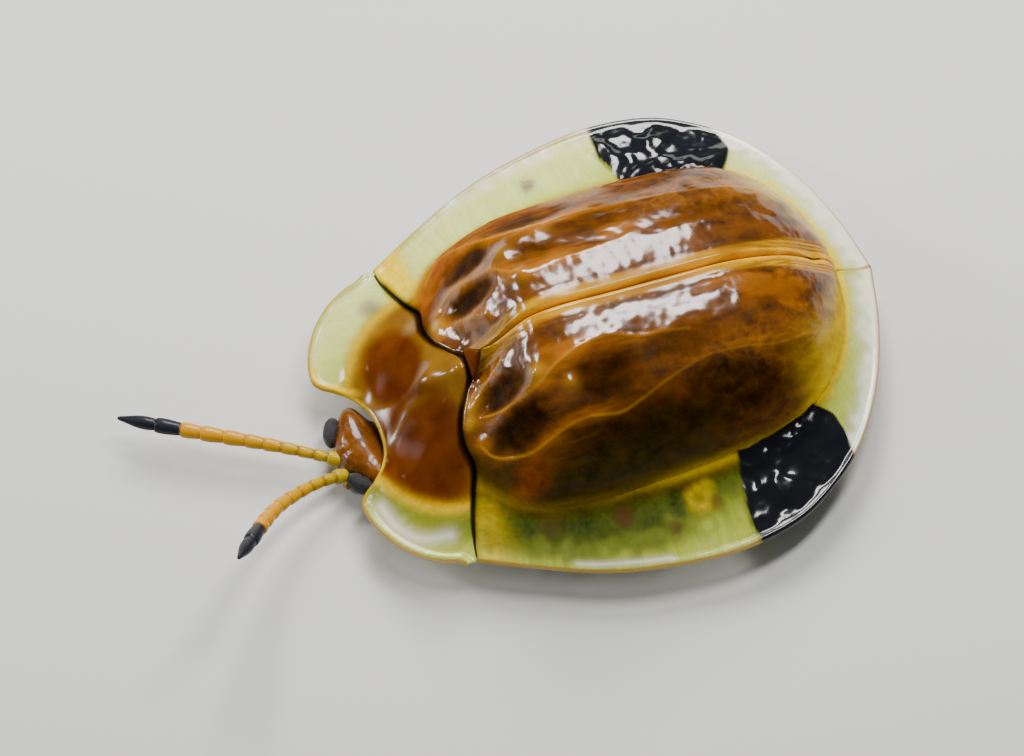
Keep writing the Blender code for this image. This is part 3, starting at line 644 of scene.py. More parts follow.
def knob_mask(at):
    """How golden each place is made by the low knobs."""
    return sum(
        golden * np.exp(-(((at.x - x) ** 2 + (at.y - y) ** 2) / radius**2) * 1.5)
        for x, y, radius, _, golden in KNOBS[at.side])


def patch_mask(at):
    """1 inside the black patch, with a slightly wavy edge."""
    front, rear = PATCH[at.side]
    wave = 0.03 * grain(at.plan, 0.25, 7.0)
    after = soft_step(-0.03, 0.03, at.y - height_along(front, at.x) + wave)
    before = soft_step(-0.03, 0.03, height_along(rear, at.x) - at.y + wave)
    return after * before * soft_step(-0.10, -0.02, at.from_disc + wave)


def stain_mask(at):
    """Ragged brown stains."""
    stain = np.zeros_like(at.x)
    ragged = 0.35 * grain(at.plan, 0.12, 3.0)
    for x, y, radius, strength in STAINS[at.side]:
        reach = np.hypot(at.x - x, at.y - y) / radius + ragged
        stain = np.maximum(stain, strength * soft_fall(0.3, 1.0, reach))
    return stain * at.outside


def golden_mask(at):
    """Yellow: the line around the dome, which widens at the tail, the shoulder, and the blotch."""
    border = bell(at.from_disc + 0.14 * at.rear, 0.15 + 0.15 * at.rear)
    border *= 0.25 + 0.45 * soft_step(0.5, 2.0, at.y) + 0.3 * at.rear
    reach = at.from_disc * (1 if at.near else 0.6) + 0.25 * at.wave
    fringe = soft_step(0.0, 0.1, at.from_disc) * soft_fall(0.15, 0.45, reach) * at.rear
    tail_line = bell(at.x, 0.05) * soft_step(0.1, 0.2, at.from_disc)
    shoulder = soft_step(2.2, 2.9, at.x) * soft_fall(-2.65, -1.95, at.y + 0.2 * at.wave)
    golden = np.max([border, 0.8 * fringe, 0.9 * tail_line, shoulder * (0.55 if at.near else 1.0)], axis=0)
    if not at.near:
        return golden
    from_blotch = np.hypot(at.x - BLOTCH[0], at.y - BLOTCH[1]) / BLOTCH[2] + 0.35 * at.wave
    golden = np.maximum(golden, 0.85 * soft_fall(0.4, 1.15, from_blotch))
    return golden * (1 - 0.55 * bell(from_blotch, 0.35))


def painted_light_mask(at):
    """Painted light: the clear rim brightened behind the dome on the near side and all along on the far side,
    with a painted gleam streak in the near rim.
    """
    tail_share = 0.6 + 0.4 * soft_step(3.0, 4.5, at.y)
    pale = soft_step(0.30, 0.75, (1.0 - at.from_rim) * tail_share + 0.25 * at.wave)
    pale *= soft_step(4.0, 5.2, at.y) if at.near else soft_step(-2.2, -1.0, at.y)
    pale = np.clip(pale, 0, 1) * at.outside
    if not at.near:
        return pale
    return np.maximum(pale, 0.8 * bell(distance_to_line(at.x, at.y, RIM_GLEAM), GLEAM_WIDTH))


def flank_masks(at, dark, knobs):
    """The dome's low sides: where the shine is weak, and where they turn olive or rusty."""
    flank = np.maximum(soft_step(-1.0, -0.6, at.from_disc), soft_step(1.9, 2.4, at.x))
    flank = flank * soft_fall(0.25, 0.6, at.from_disc)
    flank = flank * (1 if at.near else 1 - 0.6 * soft_step(0.2, 1.2, at.y))
    shoulder = soft_fall(0.2, 1.1, reach_of(at.x, at.y, SHOULDER_SPOT, SHOULDER_RADII))
    front = soft_step(-0.95, -0.35, at.from_disc) * soft_fall(0.10, 0.45, at.from_disc)
    front = front * soft_fall(1.8, 3.8, at.y)
    return {
        "olive": front * at.near * (1 - 0.85 * shoulder),
        "rust": 0.95 * shoulder if at.near else np.maximum(0.5 * shoulder, 0.75 * front),
        "flank": np.clip(np.maximum(flank, 1.6 * dark) - knobs, 0, 1),
    }


def shade_mask(at):
    """Where the near rim lies in the dome's shade, so that it looks dark green."""
    reach = at.from_disc + 0.35 * at.wave + 0.45 * soft_step(0.5, 2.5, at.y) - 0.2
    return at.near * soft_fall(0.5, 1.7, reach) * soft_fall(2.9, 3.6, at.y)


def dark_joint_and_shade_mask(at):
    """The dark joint line where the wing case meets the pronotum, partly its own dark colour and partly
    painted shade in the gap.
    """
    width = 0.05 if at.near else 0.07
    return bell(at.from_base, width) * soft_step(0.9, 1.4, at.x) * soft_fall(3.1, 3.5, at.x)


print("markings ready, the widest vein:", VEIN_WIDTH, "mm")

# %% [markdown]
# One table then holds all of a wing case's masks. The distances are measured in the flat, from the
# dome's edge, from the rim and from the front edge, so the markings follow the shell's outline.

# %% All markings of a wing case
MARGIN_WIDTH, DISC_WIDTH = 1.8, 1.1
WING_LENGTH = 9


def wing_places(top, along, across, side):
    """What the masks are worked out from at each point: places, distances, and soft zones."""
    x, y = top[..., 0], top[..., 1]
    on_margin = (np.broadcast_to(across, x.shape) - DISC_SHARE) / (1 - DISC_SHARE)
    from_disc = np.where(on_margin > 0, on_margin * MARGIN_WIDTH, on_margin * DISC_WIDTH)
    rim = top[:, -1:, :2]
    plan = np.stack([x, y, 0 * x], -1)
    return SimpleNamespace(
        x=x, y=y, plan=plan, side=side, near=side == "left", on_margin=on_margin > 0, from_disc=from_disc,
        from_rim=np.hypot(x - rim[..., 0], y - rim[..., 1]),
        from_base=np.broadcast_to(along * WING_LENGTH, x.shape),
        dome=soft_fall(-0.05, 0.12, from_disc), outside=soft_step(0.1, 0.3, from_disc),
        rear=soft_step(4.2, 5.6, y), wave=grain(plan, 0.30, 2.0),
    )


def wing_masks(at):
    """Every mask of a wing case, by name."""
    veins, glow = vein_masks(at)
    dark, knobs = window_mask(at), knob_mask(at)
    band = SEAM_BAND + 0.04 * soft_fall(-1.4, -0.2, at.y) + 0.10 * soft_step(4.6, 5.8, at.y)
    gold = soft_fall(band * 0.80, band * 1.10, at.x) * at.dome
    lines = sum(bell(at.x - line, DARK_LINE_WIDTH) for line in FINE_LINES + (SEAM_BAND + 0.04,))
    honey = at.rear * soft_step(-1.30, -0.50, at.from_disc + 0.15 * at.wave)
    return flank_masks(at, dark, knobs) | {
        "vein": veins,
        "glow": glow,
        "dark": dark,
        "gold": gold * (0.45 + 0.55 * soft_step(-1.6, -0.4, at.y)),
        "line": lines * at.dome,
        "web": soft_step(0.8, 2.2, at.x) * soft_step(1.5, 3.5, at.y) * at.dome,
        "bud": np.clip(knobs, 0, 1) * at.dome,
        "honey": honey * soft_fall(0.0, 0.15, at.from_disc),
        "edge": golden_mask(at),
        "seat": dark_joint_and_shade_mask(at),
        "pale": painted_light_mask(at),
        "shade": shade_mask(at),
        "clear": soft_step(0.0, 0.50 - 0.25 * at.rear, at.from_disc),
        "stain": stain_mask(at),
        "bead": soft_fall(0.045, 0.105, at.from_rim) * at.on_margin,
        "black": patch_mask(at),
    }


print("the rim is", MARGIN_WIDTH, "mm wide for the masks, and the dome's side", DISC_WIDTH, "mm")

# %% [markdown]
# The wing case itself: its surface is raised along the veins and the knobs, dented in the dark
# windows, wrinkled in the black patch, and ends in a round bead. Both wing cases come from the
# same functions, the right one mirrored at the end, so they fit like the real pair.

# %% Relief of the wing cases
DOME_THICKNESS, RIM_THICKNESS, BEAD_THICKNESS = 0.34, 0.15, 0.20
SEAM_ROUND, BASE_ROUND = 0.014, 0.05
VEIN_RISE, GLOW_RISE, WINDOW_DEPTH, LINE_DEPTH, GUTTER_DEPTH = 0.016, 0.040, 0.060, 0.010, 0.040
GROOVE_WIDTH = 0.018
WING_ROWS, WING_COLUMNS = 260, 190
BASE_ROWS, SEAM_COLUMNS, MARGIN_COLUMNS, EDGE_COLUMNS = 6, 16, 44, 16
OUTER_COLUMN = -40


def wing_grid():
    """Where the grid's rows and columns lie: close together at the seam and at the rim."""
    dome_columns = WING_COLUMNS - MARGIN_COLUMNS - EDGE_COLUMNS - SEAM_COLUMNS
    across = np.concatenate([
        np.linspace(0, 0.10, SEAM_COLUMNS, endpoint=False),
        np.linspace(0.10, DISC_SHARE, dome_columns, endpoint=False),
        np.linspace(DISC_SHARE, 0.965, MARGIN_COLUMNS, endpoint=False),
        np.linspace(0.965, 1, EDGE_COLUMNS),
    ])
    along = np.concatenate([
        np.linspace(0, 0.01, BASE_ROWS, endpoint=False), np.linspace(0.01, 1, WING_ROWS - BASE_ROWS)])
    return along[:, None], across[None]


def path_lengths(top):
    """Two lengths at each point of a grid: along its outer column, and across from its first column."""
    outer = top[:, OUTER_COLUMN]
    run = np.concatenate([[0], np.cumsum(np.linalg.norm(np.diff(outer, axis=0), axis=1))])
    reach = np.cumsum(np.linalg.norm(np.diff(top, axis=1, prepend=top[:, :1]), axis=2), axis=1)
    return np.stack([np.broadcast_to(run[:, None], reach.shape), reach, 0 * reach], -1)


def dome_relief(top, masks, side):
    """How far the dome's surface is raised: veins, windows, knobs, grooves and uneven ground."""
    x, y = top[..., 0], top[..., 1]
    lift = VEIN_RISE * masks["vein"] + GLOW_RISE * masks["glow"] - WINDOW_DEPTH * masks["dark"]
    for knob_x, knob_y, radius, height, _ in KNOBS[side]:
        lift += height * np.exp(-(((x - knob_x) ** 2 + (y - knob_y) ** 2) / radius**2) * 2)
    for line in FINE_LINES + (SEAM_BAND + 0.03,):
        lift -= LINE_DEPTH * bell(x - line, GROOVE_WIDTH)
    calm = 1 - 0.9 * masks["gold"]
    lift += 0.040 * grain(top * np.array([1, 0.5, 1]), 0.75, 3.0) * calm
    for height, size, offset in ((0.014, 0.28, 13.0), (0.005, 0.12, 5.0)):
        lift += height * grain(top, size, offset) * calm
    return lift * soft_step(0.0, 0.10, x)


def patch_relief(top):
    """Folds like crumpled wet leather: broad ones, with finer ones on them."""
    flat = top * np.array([1, 1, 0.2])
    folds = grain(flat, 0.60, 11.0) - 0.6 * np.abs(grain(flat, 0.38, 21.0))
    return 0.12 * folds + 0.018 * grain(flat, 0.17, 31.0) + 0.02


def gutter(from_edge, clear, inner, outer):
    """1 in the shallow gutter that runs inside the rim's bead."""
    return soft_step(0.08, inner, from_edge) * soft_fall(0.3, outer, from_edge) * clear


def wing_case(side):
    """One wing case with its relief, its markings and its round edges."""
    along, across = wing_grid()
    top = shield(along, across)
    at = wing_places(top, along, across, side)
    masks = wing_masks(at)
    clear, bare = masks["clear"], 1 - masks["black"]
    lift = dome_relief(top, masks, side) * (1 - clear) * bare
    lift += patch_relief(top) * masks["black"] * soft_step(0.10, 0.40, at.from_rim)
    lift -= GUTTER_DEPTH * gutter(at.from_rim, clear, 0.22, 0.75)
    lift += 0.012 * grain(top, 0.30, 5.0) * clear * bare * soft_step(0.1, 0.3, at.from_rim)
    fade = rounded(at.from_rim, 0.25) * soft_step(0.0, 0.25, at.from_base)
    normals = grid_normals(top)
    top = top + normals * (lift * fade)[..., None]

    thick = DOME_THICKNESS + (RIM_THICKNESS - DOME_THICKNESS) * soft_step(-0.4, 0.3, at.from_disc)
    thick = thick + (BEAD_THICKNESS - thick) * soft_fall(0.10, 0.20, at.from_rim)
    from_seam = np.maximum(top[..., 0] - SEAM_GAP / 2, 0)
    kept = np.minimum(rounded(at.from_rim, BEAD_THICKNESS / 2), rounded(from_seam, SEAM_ROUND))
    kept = np.minimum(kept, rounded(at.from_base, BASE_ROUND))
    top, bottom = wall_faces(top, normals, thick, kept)
    for face in (top, bottom):
        face[..., 0] = np.maximum(face[..., 0], SEAM_GAP / 2)
    masks["sheet"] = path_lengths(top)
    thing = shell_object("wing_case_" + side, top, bottom, WING_FINISH, masks, side == "right")
    return dress(thing, "wing_case_shell", "elytron_" + side)


print("a wing case's grid:", [part.size for part in wing_grid()])

# %% [markdown]
# Two finishes serve the shell, one for the wing cases and one for the pronotum. Under a clear, hard
# gloss lies a brown body colour, broken up by streaks. The masks turn it golden, nearly black,
# rusty or olive. The rim lets light through, so its alpha is low, and fine rays cross it. Both
# finishes share that clear rim and the gloss, so each of these is a function of its own.

# %% The clear rim and the gloss
CLEAR_ALPHA, RAY_ALPHA = 0.42, 0.05
# How little light gets through where the rim has a marking.
RIM_COVERS = (("bead", 0.85), ("stain", 0.60), ("seat", 0.95), ("pale", 0.75), ("shade", 0.80))
GOLDEN_EDGE = ((0.70, 0.44, 0.001), (0.92, 0.66, 0.001))
# The joint's near-black colour is partly its own dark colour and partly painted shade in the gap between the
# parts.
STAIN_COLOUR, BEAD_COLOUR, DARK_JOINT_AND_SHADE_COLOUR = (0.13, 0.060, 0.010), (0.52, 0.28, 0.010), (0.010, 0.004, 0.0008)
GLOSS_ROUGHNESS, GLOSS_IOR, GLOSS_ON_EDGE = 0.155, 1.6, 0.35
SHELL_DENTS = 0.03
# Rays to the millimetre along the rim, and how fast each changes along its own length.
RAY_SCALE = (7.0, 0.8, 1)


def clear_rim(tree, colour, rays, fine, mottle):
    """Adds the clear rim with its painted shade and painted light, its bead, its stains, and the dark joint
    with its painted shade to a body colour. Gives the colour and the alpha.
    """
    clear = blend_colour(tree, rays, (0.64, 0.76, 0.035), (0.77, 0.87, 0.10))
    shady = blend_colour(tree, mottle, (0.026, 0.042, 0.002), (0.085, 0.125, 0.006))
    shady = tint(tree, shady, fine, (0.19, 0.24, 0.02), 0.35)
    clear = tint(tree, clear, "shade", shady)
    # Painted light: the clear rim turns nearly white where the painted-light mask is high.
    clear = tint(tree, clear, "pale", (1.0, 1.0, 0.78))
    colour = tint(tree, colour, "clear", clear)
    border = times(tree, "edge", blend_value(tree, rays, 0.90, 1.0))
    colour = tint(tree, colour, border, blend_colour(tree, fine, *GOLDEN_EDGE))
    for mask, over in (("stain", STAIN_COLOUR), ("bead", BEAD_COLOUR), ("seat", DARK_JOINT_AND_SHADE_COLOUR)):
        colour = tint(tree, colour, mask, over)
    cover = combine(tree, "ADD", CLEAR_ALPHA, times(tree, rays, RAY_ALPHA))
    for mask, share in RIM_COVERS:
        cover = combine(tree, "MAXIMUM", cover, times(tree, mask, share))
    cover = combine(tree, "MAXIMUM", cover, border)
    return colour, blend_value(tree, mask_of(tree, "clear"), 1.0, cover)


def polish(tree, shader, roughness, height, strength, gloss):
    """The hard gloss over a shell: its roughness varies a little, and its surface isn't quite even."""
    gloss = times(tree, gloss, blend_value(tree, mask_of(tree, "edge"), 1.0, GLOSS_ON_EDGE))
    gloss = blend_value(tree, mask_of(tree, "seat"), gloss, 0.0)
    fill(tree, shader, {
        "Roughness": roughness, "Specular IOR Level": 0.0, "Coat Weight": gloss,
        "Coat Roughness": GLOSS_ROUGHNESS, "Coat IOR": GLOSS_IOR,
    })
    add_dents(tree, shader, height, strength, SHELL_DENTS)


def sheet_rays(tree):
    """Fine rays that run from the dome to the rim."""
    sheet = add_node(tree, "ShaderNodeAttribute", {"attribute_name": "sheet"}).outputs["Vector"]
    drawn_out = add_node(tree, "ShaderNodeMapping", Vector=sheet, Scale=RAY_SCALE)
    return cloud(tree, drawn_out.outputs["Vector"], 1.0, detail=5, low=0.38, high=0.66)


print("a clear rim's alpha:", CLEAR_ALPHA)

# %% [markdown]
# The wing case's colour is laid on in layers. First comes the body colour with its streaks and
# stripes. Then come the markings, from the warm glow beside the veins to the thin dark lines in
# the golden band. The clear rim and the black patch go over everything.

# %% The wing case's finish
def body_colour(tree, streaks, mottle):
    """The dome's deep brown, broken up by streaks and stripes along the body."""
    colour = blend_colour(tree, streaks, (0.024, 0.0080, 0.0006), (0.115, 0.034, 0.0012))
    colour = tint(tree, colour, mottle, (0.200, 0.060, 0.0012), 0.50)
    stripes = cloud(tree, place(tree, (2.2, 0.30, 2.2)), 0.9, detail=4, low=0.53, high=0.66)
    return tint(tree, colour, stripes, (0.31, 0.098, 0.0015), 0.70)


def fine_net(tree, anywhere):
    """A net of thin threads, bent by noise so that its cells aren't straight."""
    noise_node = add_node(tree, "ShaderNodeTexNoise", Vector=anywhere, Scale=2.0, Detail=2.0)
    bent = add_node(
        tree, "ShaderNodeVectorMath", {"operation": "ADD"}, i0=anywhere, i1=noise_node.outputs["Color"])
    return network(tree, bent.outputs["Vector"], 1.7, 0.15)


def dome_markings(tree, colour, streaks, mottle, net):
    """The markings on the dome, each laid over the ones before it."""
    warm = times(tree, "glow", blend_value(tree, streaks, 0.25, 0.95))
    colour = tint(tree, colour, warm, (0.38, 0.125, 0.002))
    colour = tint(tree, colour, "bud", (0.44, 0.21, 0.006))
    colour = tint(tree, colour, times(tree, net, "web"), (0.34, 0.12, 0.006), 0.36)
    dark = times(tree, "dark", blend_value(tree, mottle, 0.96, 0.70))
    colour = tint(tree, colour, dark, (0.0085, 0.0038, 0.0006))
    rust = blend_colour(tree, mottle, (0.18, 0.038, 0.0005), (0.37, 0.092, 0.0008))
    colour = tint(tree, colour, "rust", rust)
    olive = blend_colour(tree, mottle, (0.022, 0.016, 0.0010), (0.055, 0.040, 0.0018))
    colour = tint(tree, colour, "olive", olive, 0.85)
    honey = blend_colour(tree, streaks, (0.36, 0.20, 0.004), (0.62, 0.42, 0.010))
    colour = tint(tree, colour, "honey", honey)
    colour = tint(tree, colour, "vein", (0.46, 0.20, 0.010), 0.75)
    golden = blend_colour(tree, streaks, (0.46, 0.19, 0.001), (0.78, 0.41, 0.001))
    colour = tint(tree, colour, "gold", golden)
    return tint(tree, colour, "line", (0.095, 0.030, 0.0010), 0.75)


def wing_gloss(tree):
    """Where the wing case shines: weakly on the low sides, half on the band and on the black patch."""
    gloss = blend_value(tree, mask_of(tree, "flank"), 1.0, 0.08)
    gloss = blend_value(tree, mask_of(tree, "gold"), gloss, 0.50)
    return combine(tree, "MAXIMUM", gloss, times(tree, "black", 0.60))


def make_wing_finish():
    """The finish of both wing cases."""
    material, tree, shader = new_finish("wing_case_shell", (0.3, 0.1, 0.01), 0.25)
    anywhere = place(tree)
    streaks = cloud(tree, place(tree, (2.4, 0.5, 2.4)), 1.1, detail=6, low=0.36, high=0.66)
    mottle = cloud(tree, anywhere, 2.4, detail=6, low=0.36, high=0.68)
    fine = cloud(tree, anywhere, 9.0, detail=4)
    colour = body_colour(tree, streaks, mottle)
    colour = dome_markings(tree, colour, streaks, mottle, fine_net(tree, anywhere))
    colour, alpha = clear_rim(tree, colour, sheet_rays(tree), fine, mottle)
    colour = tint(tree, colour, "black", (0.0030, 0.0040, 0.0065))
    alpha = combine(tree, "MAXIMUM", alpha, mask_of(tree, "black"))
    fill(tree, shader, {"Base Color": colour, "Alpha": alpha})
    height = combine(tree, "ADD", times(tree, fine, 0.6), times(tree, mottle, 0.4))
    height = times(tree, height, blend_value(tree, mask_of(tree, "black"), 1.0, 0.25))
    polish(tree, shader, blend_value(tree, fine, 0.18, 0.32), height, 0.30, wing_gloss(tree))
    return material


WING_FINISH = make_wing_finish()
print("nodes in the wing cases' finish:", len(WING_FINISH.node_tree.nodes))

# %% [markdown]
# The pronotum's finish is plainer: amber at its edges and rusty in its middle, with the same clear
# rim and a weaker gloss on the rusty zones. The small scutellum shares it.

# %% The pronotum's finish
def make_pronotum_finish():
    """The finish of the pronotum and the scutellum."""
    material, tree, shader = new_finish("pronotum_shell", (0.3, 0.1, 0.01), 0.25)
    anywhere = place(tree)
    mottle = cloud(tree, anywhere, 1.5, detail=6, low=0.36, high=0.68)
    fine = cloud(tree, anywhere, 10.0, detail=4)
    colour = blend_colour(tree, mottle, (0.155, 0.064, 0.0012), (0.24, 0.110, 0.0024))
    rusty = blend_colour(tree, mottle, (0.078, 0.0165, 0.0005), (0.135, 0.032, 0.0008))
    colour = tint(tree, colour, "rust", rusty)
    colour, alpha = clear_rim(tree, colour, sheet_rays(tree), fine, mottle)
    fill(tree, shader, {"Base Color": colour, "Alpha": alpha})
    gloss = blend_value(tree, mask_of(tree, "rust"), 1.0, 0.03)
    polish(tree, shader, blend_value(tree, fine, 0.16, 0.28), fine, 0.08, gloss)
    return material


PRONOTUM_FINISH = make_pronotum_finish()
print("nodes in the pronotum's finish:", len(PRONOTUM_FINISH.node_tree.nodes))

# %% [markdown]
# With their surface, their masks and their finish in place, the two wing cases can be made.

# %% Make the wing cases
for side in ("left", "right"):
    made = wing_case(side)
    print(made.name, len(made.data.polygons), "faces")

# %% [markdown]
# The pronotum is the shield over the head and the front of the body. It has a rusty middle,
# amber edges and clear corners, and a notch in front where the head looks out. Its surface runs
# from its measured front edge to the line where the wing cases start.

# %% The pronotum's surface
PRONOTUM_EDGE = (
    (0.00, -4.18), (0.45, -4.23), (0.82, -4.40), (1.12, -4.70), (1.34, -4.98), (1.62, -5.12),
    (2.18, -5.01), (2.75, -4.70), (3.18, -4.30), (3.45, -3.88), (3.58, -3.52), (3.66, -3.38),
)
# How far its raised middle reaches sideways and forward, and how high it rises over the rim.
PRONOTUM_DISC = (2.75, 2.35)
PRONOTUM_RISE, EDGE_LIFT = 1.50, 0.25
# The front edge lies a little further forward on one side, as on the photographed animal.
PRONOTUM_TURN = 0.05


def pronotum_rise(x, y):
    """The height of the raised middle over the rim."""
    reach = np.clip(reach_of(x, y, (0, MIDDLE_BACK_Y), PRONOTUM_DISC), 0, 1)
    return PRONOTUM_RISE * (1 - reach**1.5) ** 1.5


def pronotum_surface(across, back):
    """The pronotum's upper surface, from its right to its left and from its front to its back."""
    side = np.abs(across)
    front = through(PRONOTUM_EDGE, side)
    rear_x = side**0.92 * PRONOTUM_EDGE[-1][0]
    rear_y = base_line(rear_x)[0] - SEAM_GAP / 2
    x = front[..., 0] * (1 - back) + rear_x * back
    y = front[..., 1] * (1 - back) + rear_y * back
    y = y + PRONOTUM_TURN * np.sign(across) * x * (1 - back) * (1 - side**2)
    lift = EDGE_LIFT * (1 - side**3) * (1 - (1 - back) ** 2)
    z = RIM_Z + lift + pronotum_rise(x, y)
    rear_z = RIM_Z + EDGE_LIFT * (1 - side**3) + pronotum_rise(rear_x, rear_y)
    z = z + (base_line(rear_x)[1] - rear_z) * back**1.5
    return np.stack([np.sign(across) * x, y, z], -1)


middle_line = pronotum_surface(np.array([1e-6]), np.linspace(0, 1, 5)[:, None])[:, 0]
print("the pronotum's middle line, y and z:", np.round(middle_line[:, 1:], 2).tolist())

# %% [markdown]
# Its markings follow the same idea as the wing cases': two rusty zones, a pale ridge between them,
# a clear rim with a painted gleam in its near corner and painted light at its far corner, and a
# dark line, partly painted shade, where the wing cases meet it.

# %% Make the pronotum
RUSTY_ZONES = (((-1.02, -3.45), (0.96, 0.70)), ((1.15, -3.46), (1.62, 1.06)))
CLEAR_CENTRE, CLEAR_RADII = (0, -2.60), (2.60, 2.13)
# Low knobs that catch the light: the middle, the half lengths along x and y, and the height.
GLEAM_KNOBS = (
    ((-0.23, -2.90), (0.30, 0.40), 0.11), ((0.02, -2.18), (0.28, 0.16), 0.05),
    ((0.55, -2.62), (0.16, 0.20), 0.03),
)
# The painted gleam in the near clear corner: its line and its width.
CORNER_GLEAM, CORNER_GLEAM_WIDTH = ((1.75, -4.68), (2.31, -4.50), (2.80, -4.08), (2.99, -3.46)), 0.16
PALE_RIDGE, PALE_RIDGE_WIDTH = ((0.11, -3.01), (0.08, -3.45), (0.32, -3.82), (0.58, -4.14)), 0.12
PRONOTUM_STAIN, STAIN_RADIUS = (-2.75, -3.45), 0.40
PRONOTUM_ROWS, PRONOTUM_COLUMNS, FRONT_ROWS = 120, 301, 13
PRONOTUM_LENGTH = 2
PRONOTUM_THICKNESS, THIN_PART, PRONOTUM_BEAD = 0.30, 0.14, 0.19


def pronotum_masks(top, from_edge, from_hind_edge):
    """Every mask of the pronotum, by name."""
    x, y = top[..., 0], top[..., 1]
    size = np.abs(x)
    reach = reach_of(x, y, CLEAR_CENTRE, CLEAR_RADII)
    rust = np.zeros_like(x)
    for centre, radii in RUSTY_ZONES:
        rust = np.maximum(rust, soft_fall(0.74, 1.16, reach_of(x, y, centre, radii)))
    far_corner = soft_fall(0.10, 0.30, from_edge) * (x < 0) * soft_step(0.8, 1.1, size)
    front = 0.8 * soft_fall(0.03, 0.12, from_edge) * soft_fall(1.4, 1.8, size)
    amber = 0.55 * bell(reach - 1.00, 0.06)
    clear = soft_step(0.98, 1.12, reach)
    # Painted light: a pale band in the far corner's clear rim, and a painted gleam along the near clear
    # corner.
    far_painted_light = 0.9 * (x < 0) * soft_step(0.25, 0.5, 1.3 - reach) * soft_step(-4.2, -3.2, y)
    gleam = 0.8 * bell(distance_to_line(x, y, CORNER_GLEAM), CORNER_GLEAM_WIDTH)
    # The dark line along the hind edge: partly the joint's own dark colour, partly painted shade in the gap.
    seat = np.exp(-((from_hind_edge / 0.09) ** 4)) * soft_step(0.3, 0.9, size)
    from_stain = np.hypot(x - PRONOTUM_STAIN[0], y - PRONOTUM_STAIN[1]) / STAIN_RADIUS
    return {
        "rust": rust * (1 - 0.55 * bell(distance_to_line(x, y, PALE_RIDGE), PALE_RIDGE_WIDTH)),
        "clear": clear,
        "edge": np.max([amber, far_corner * soft_fall(1.7, 2.3, size), front], axis=0),
        "seat": seat * soft_fall(3.0, 3.4, size),
        "pale": clear * np.maximum(far_painted_light, gleam),
        "shade": 0.75 * clear * (x > 0) * soft_fall(1.05, 1.35, reach),
        "stain": 0.8 * soft_fall(0.2, 1.0, from_stain),
        "bead": soft_fall(0.04, 0.10, from_edge) * soft_step(0.9, 1.1, reach),
    }


def pronotum_grid():
    """Where the grid's rows and columns lie: close together at the front edge and in the middle."""
    across = np.linspace(-1, 1, PRONOTUM_COLUMNS)
    across = (np.sign(across) * np.abs(across) ** 0.85)[None]
    back = np.concatenate([
        np.linspace(0, 0.05, FRONT_ROWS + 1)[:-1], np.linspace(0.05, 1, PRONOTUM_ROWS - FRONT_ROWS)])
    return across, back[:, None]


def make_pronotum():
    """The pronotum with its low knobs, its markings and its round front edge."""
    across, back = pronotum_grid()
    top = pronotum_surface(across, back)
    x, y = top[..., 0], top[..., 1]
    from_edge = np.min([np.hypot(x - ex, y - ey) for ex, ey in top[0, :, :2]], axis=0)
    from_hind_edge = (1 - back) * PRONOTUM_LENGTH
    masks = pronotum_masks(top, from_edge, np.broadcast_to(from_hind_edge, x.shape))
    lift = 0.008 * grain(top, 0.5, 2.0) - 0.02 * masks["rust"]
    for centre, radii, height in GLEAM_KNOBS:
        lift += height * np.exp(-(((x - centre[0]) / radii[0]) ** 2 + ((y - centre[1]) / radii[1]) ** 2))
    lift -= 0.06 * gutter(from_edge, masks["clear"], 0.25, 0.9)
    normals = grid_normals(top)
    top = top + normals * (lift * rounded(from_edge, 0.2))[..., None]
    at_neck = soft_fall(0.9, 1.5, np.abs(x)) * soft_fall(0.3, 1.0, from_edge)
    thick = PRONOTUM_THICKNESS - THIN_PART * np.maximum(masks["clear"], at_neck)
    thick = thick + (PRONOTUM_BEAD - thick) * soft_fall(0.07, 0.15, from_edge) * (1 - at_neck)
    kept = np.minimum(rounded(from_edge, 0.10), rounded(from_hind_edge, 0.05))
    top, bottom = wall_faces(top, normals, thick, kept)
    masks["sheet"] = path_lengths(top.transpose(1, 0, 2)).transpose(1, 0, 2)
    thing = shell_object("pronotum_shield", top, bottom, PRONOTUM_FINISH, masks)
    return dress(thing, "pronotum_shell", "pronotum")


shield_piece = make_pronotum()
print(shield_piece.name, len(shield_piece.data.polygons), "faces")

# %% [markdown]
# The scutellum is the small triangle where the two wing cases and the pronotum meet. It is a
# plate like the others, so the same shell function makes it.

# %% Make the scutellum
SCUTELLUM_ROWS, SCUTELLUM_COLUMNS = 30, 41
SCUTELLUM_THICKNESS, SCUTELLUM_TAPER = 0.30, 0.93
SCUTELLUM_ROUND, SCUTELLUM_SLACK, FRONT_GAP = 0.05, 0.03, 0.05
SCUTELLUM_RUST = 0.95


def make_scutellum():
    """A small arched triangle, rusty all over."""
    front_y = MIDDLE_BACK_Y + FRONT_GAP
    back = np.linspace(0, 1, SCUTELLUM_ROWS)[:, None]
    across = np.linspace(-1, 1, SCUTELLUM_COLUMNS)[None]
    half = (SCUTELLUM_HALF - SEAM_GAP) * (1 - SCUTELLUM_TAPER * back**1.2)
    y = front_y + (SCUTELLUM_TIP_Y - SCUTELLUM_SLACK - front_y) * back + 0 * across
    x = half * across
    z = height_along(SEAM_PROFILE, y) - 0.12 * across**2 - 0.03
    top = np.stack([x, y, z], -1)
    from_edge = np.minimum(half * (1 - np.abs(across)), (1 - back) * 0.4)
    top[..., 2] += 0.03 * soft_step(0.0, 0.2, from_edge)
    upward = np.array([0, 0, 1.0])
    faces = wall_faces(top, upward, SCUTELLUM_THICKNESS, rounded(from_edge, SCUTELLUM_ROUND))
    masks = {mask: 0 * x for mask in ("clear", "stain", "bead", "edge", "seat", "pale", "shade")}
    masks |= {"rust": 0 * x + SCUTELLUM_RUST, "sheet": faces[0]}
    thing = shell_object("scutellum_plate", *faces, PRONOTUM_FINISH, masks)
    return dress(thing, "pronotum_shell", "scutellum")


print(make_scutellum().name, "made")

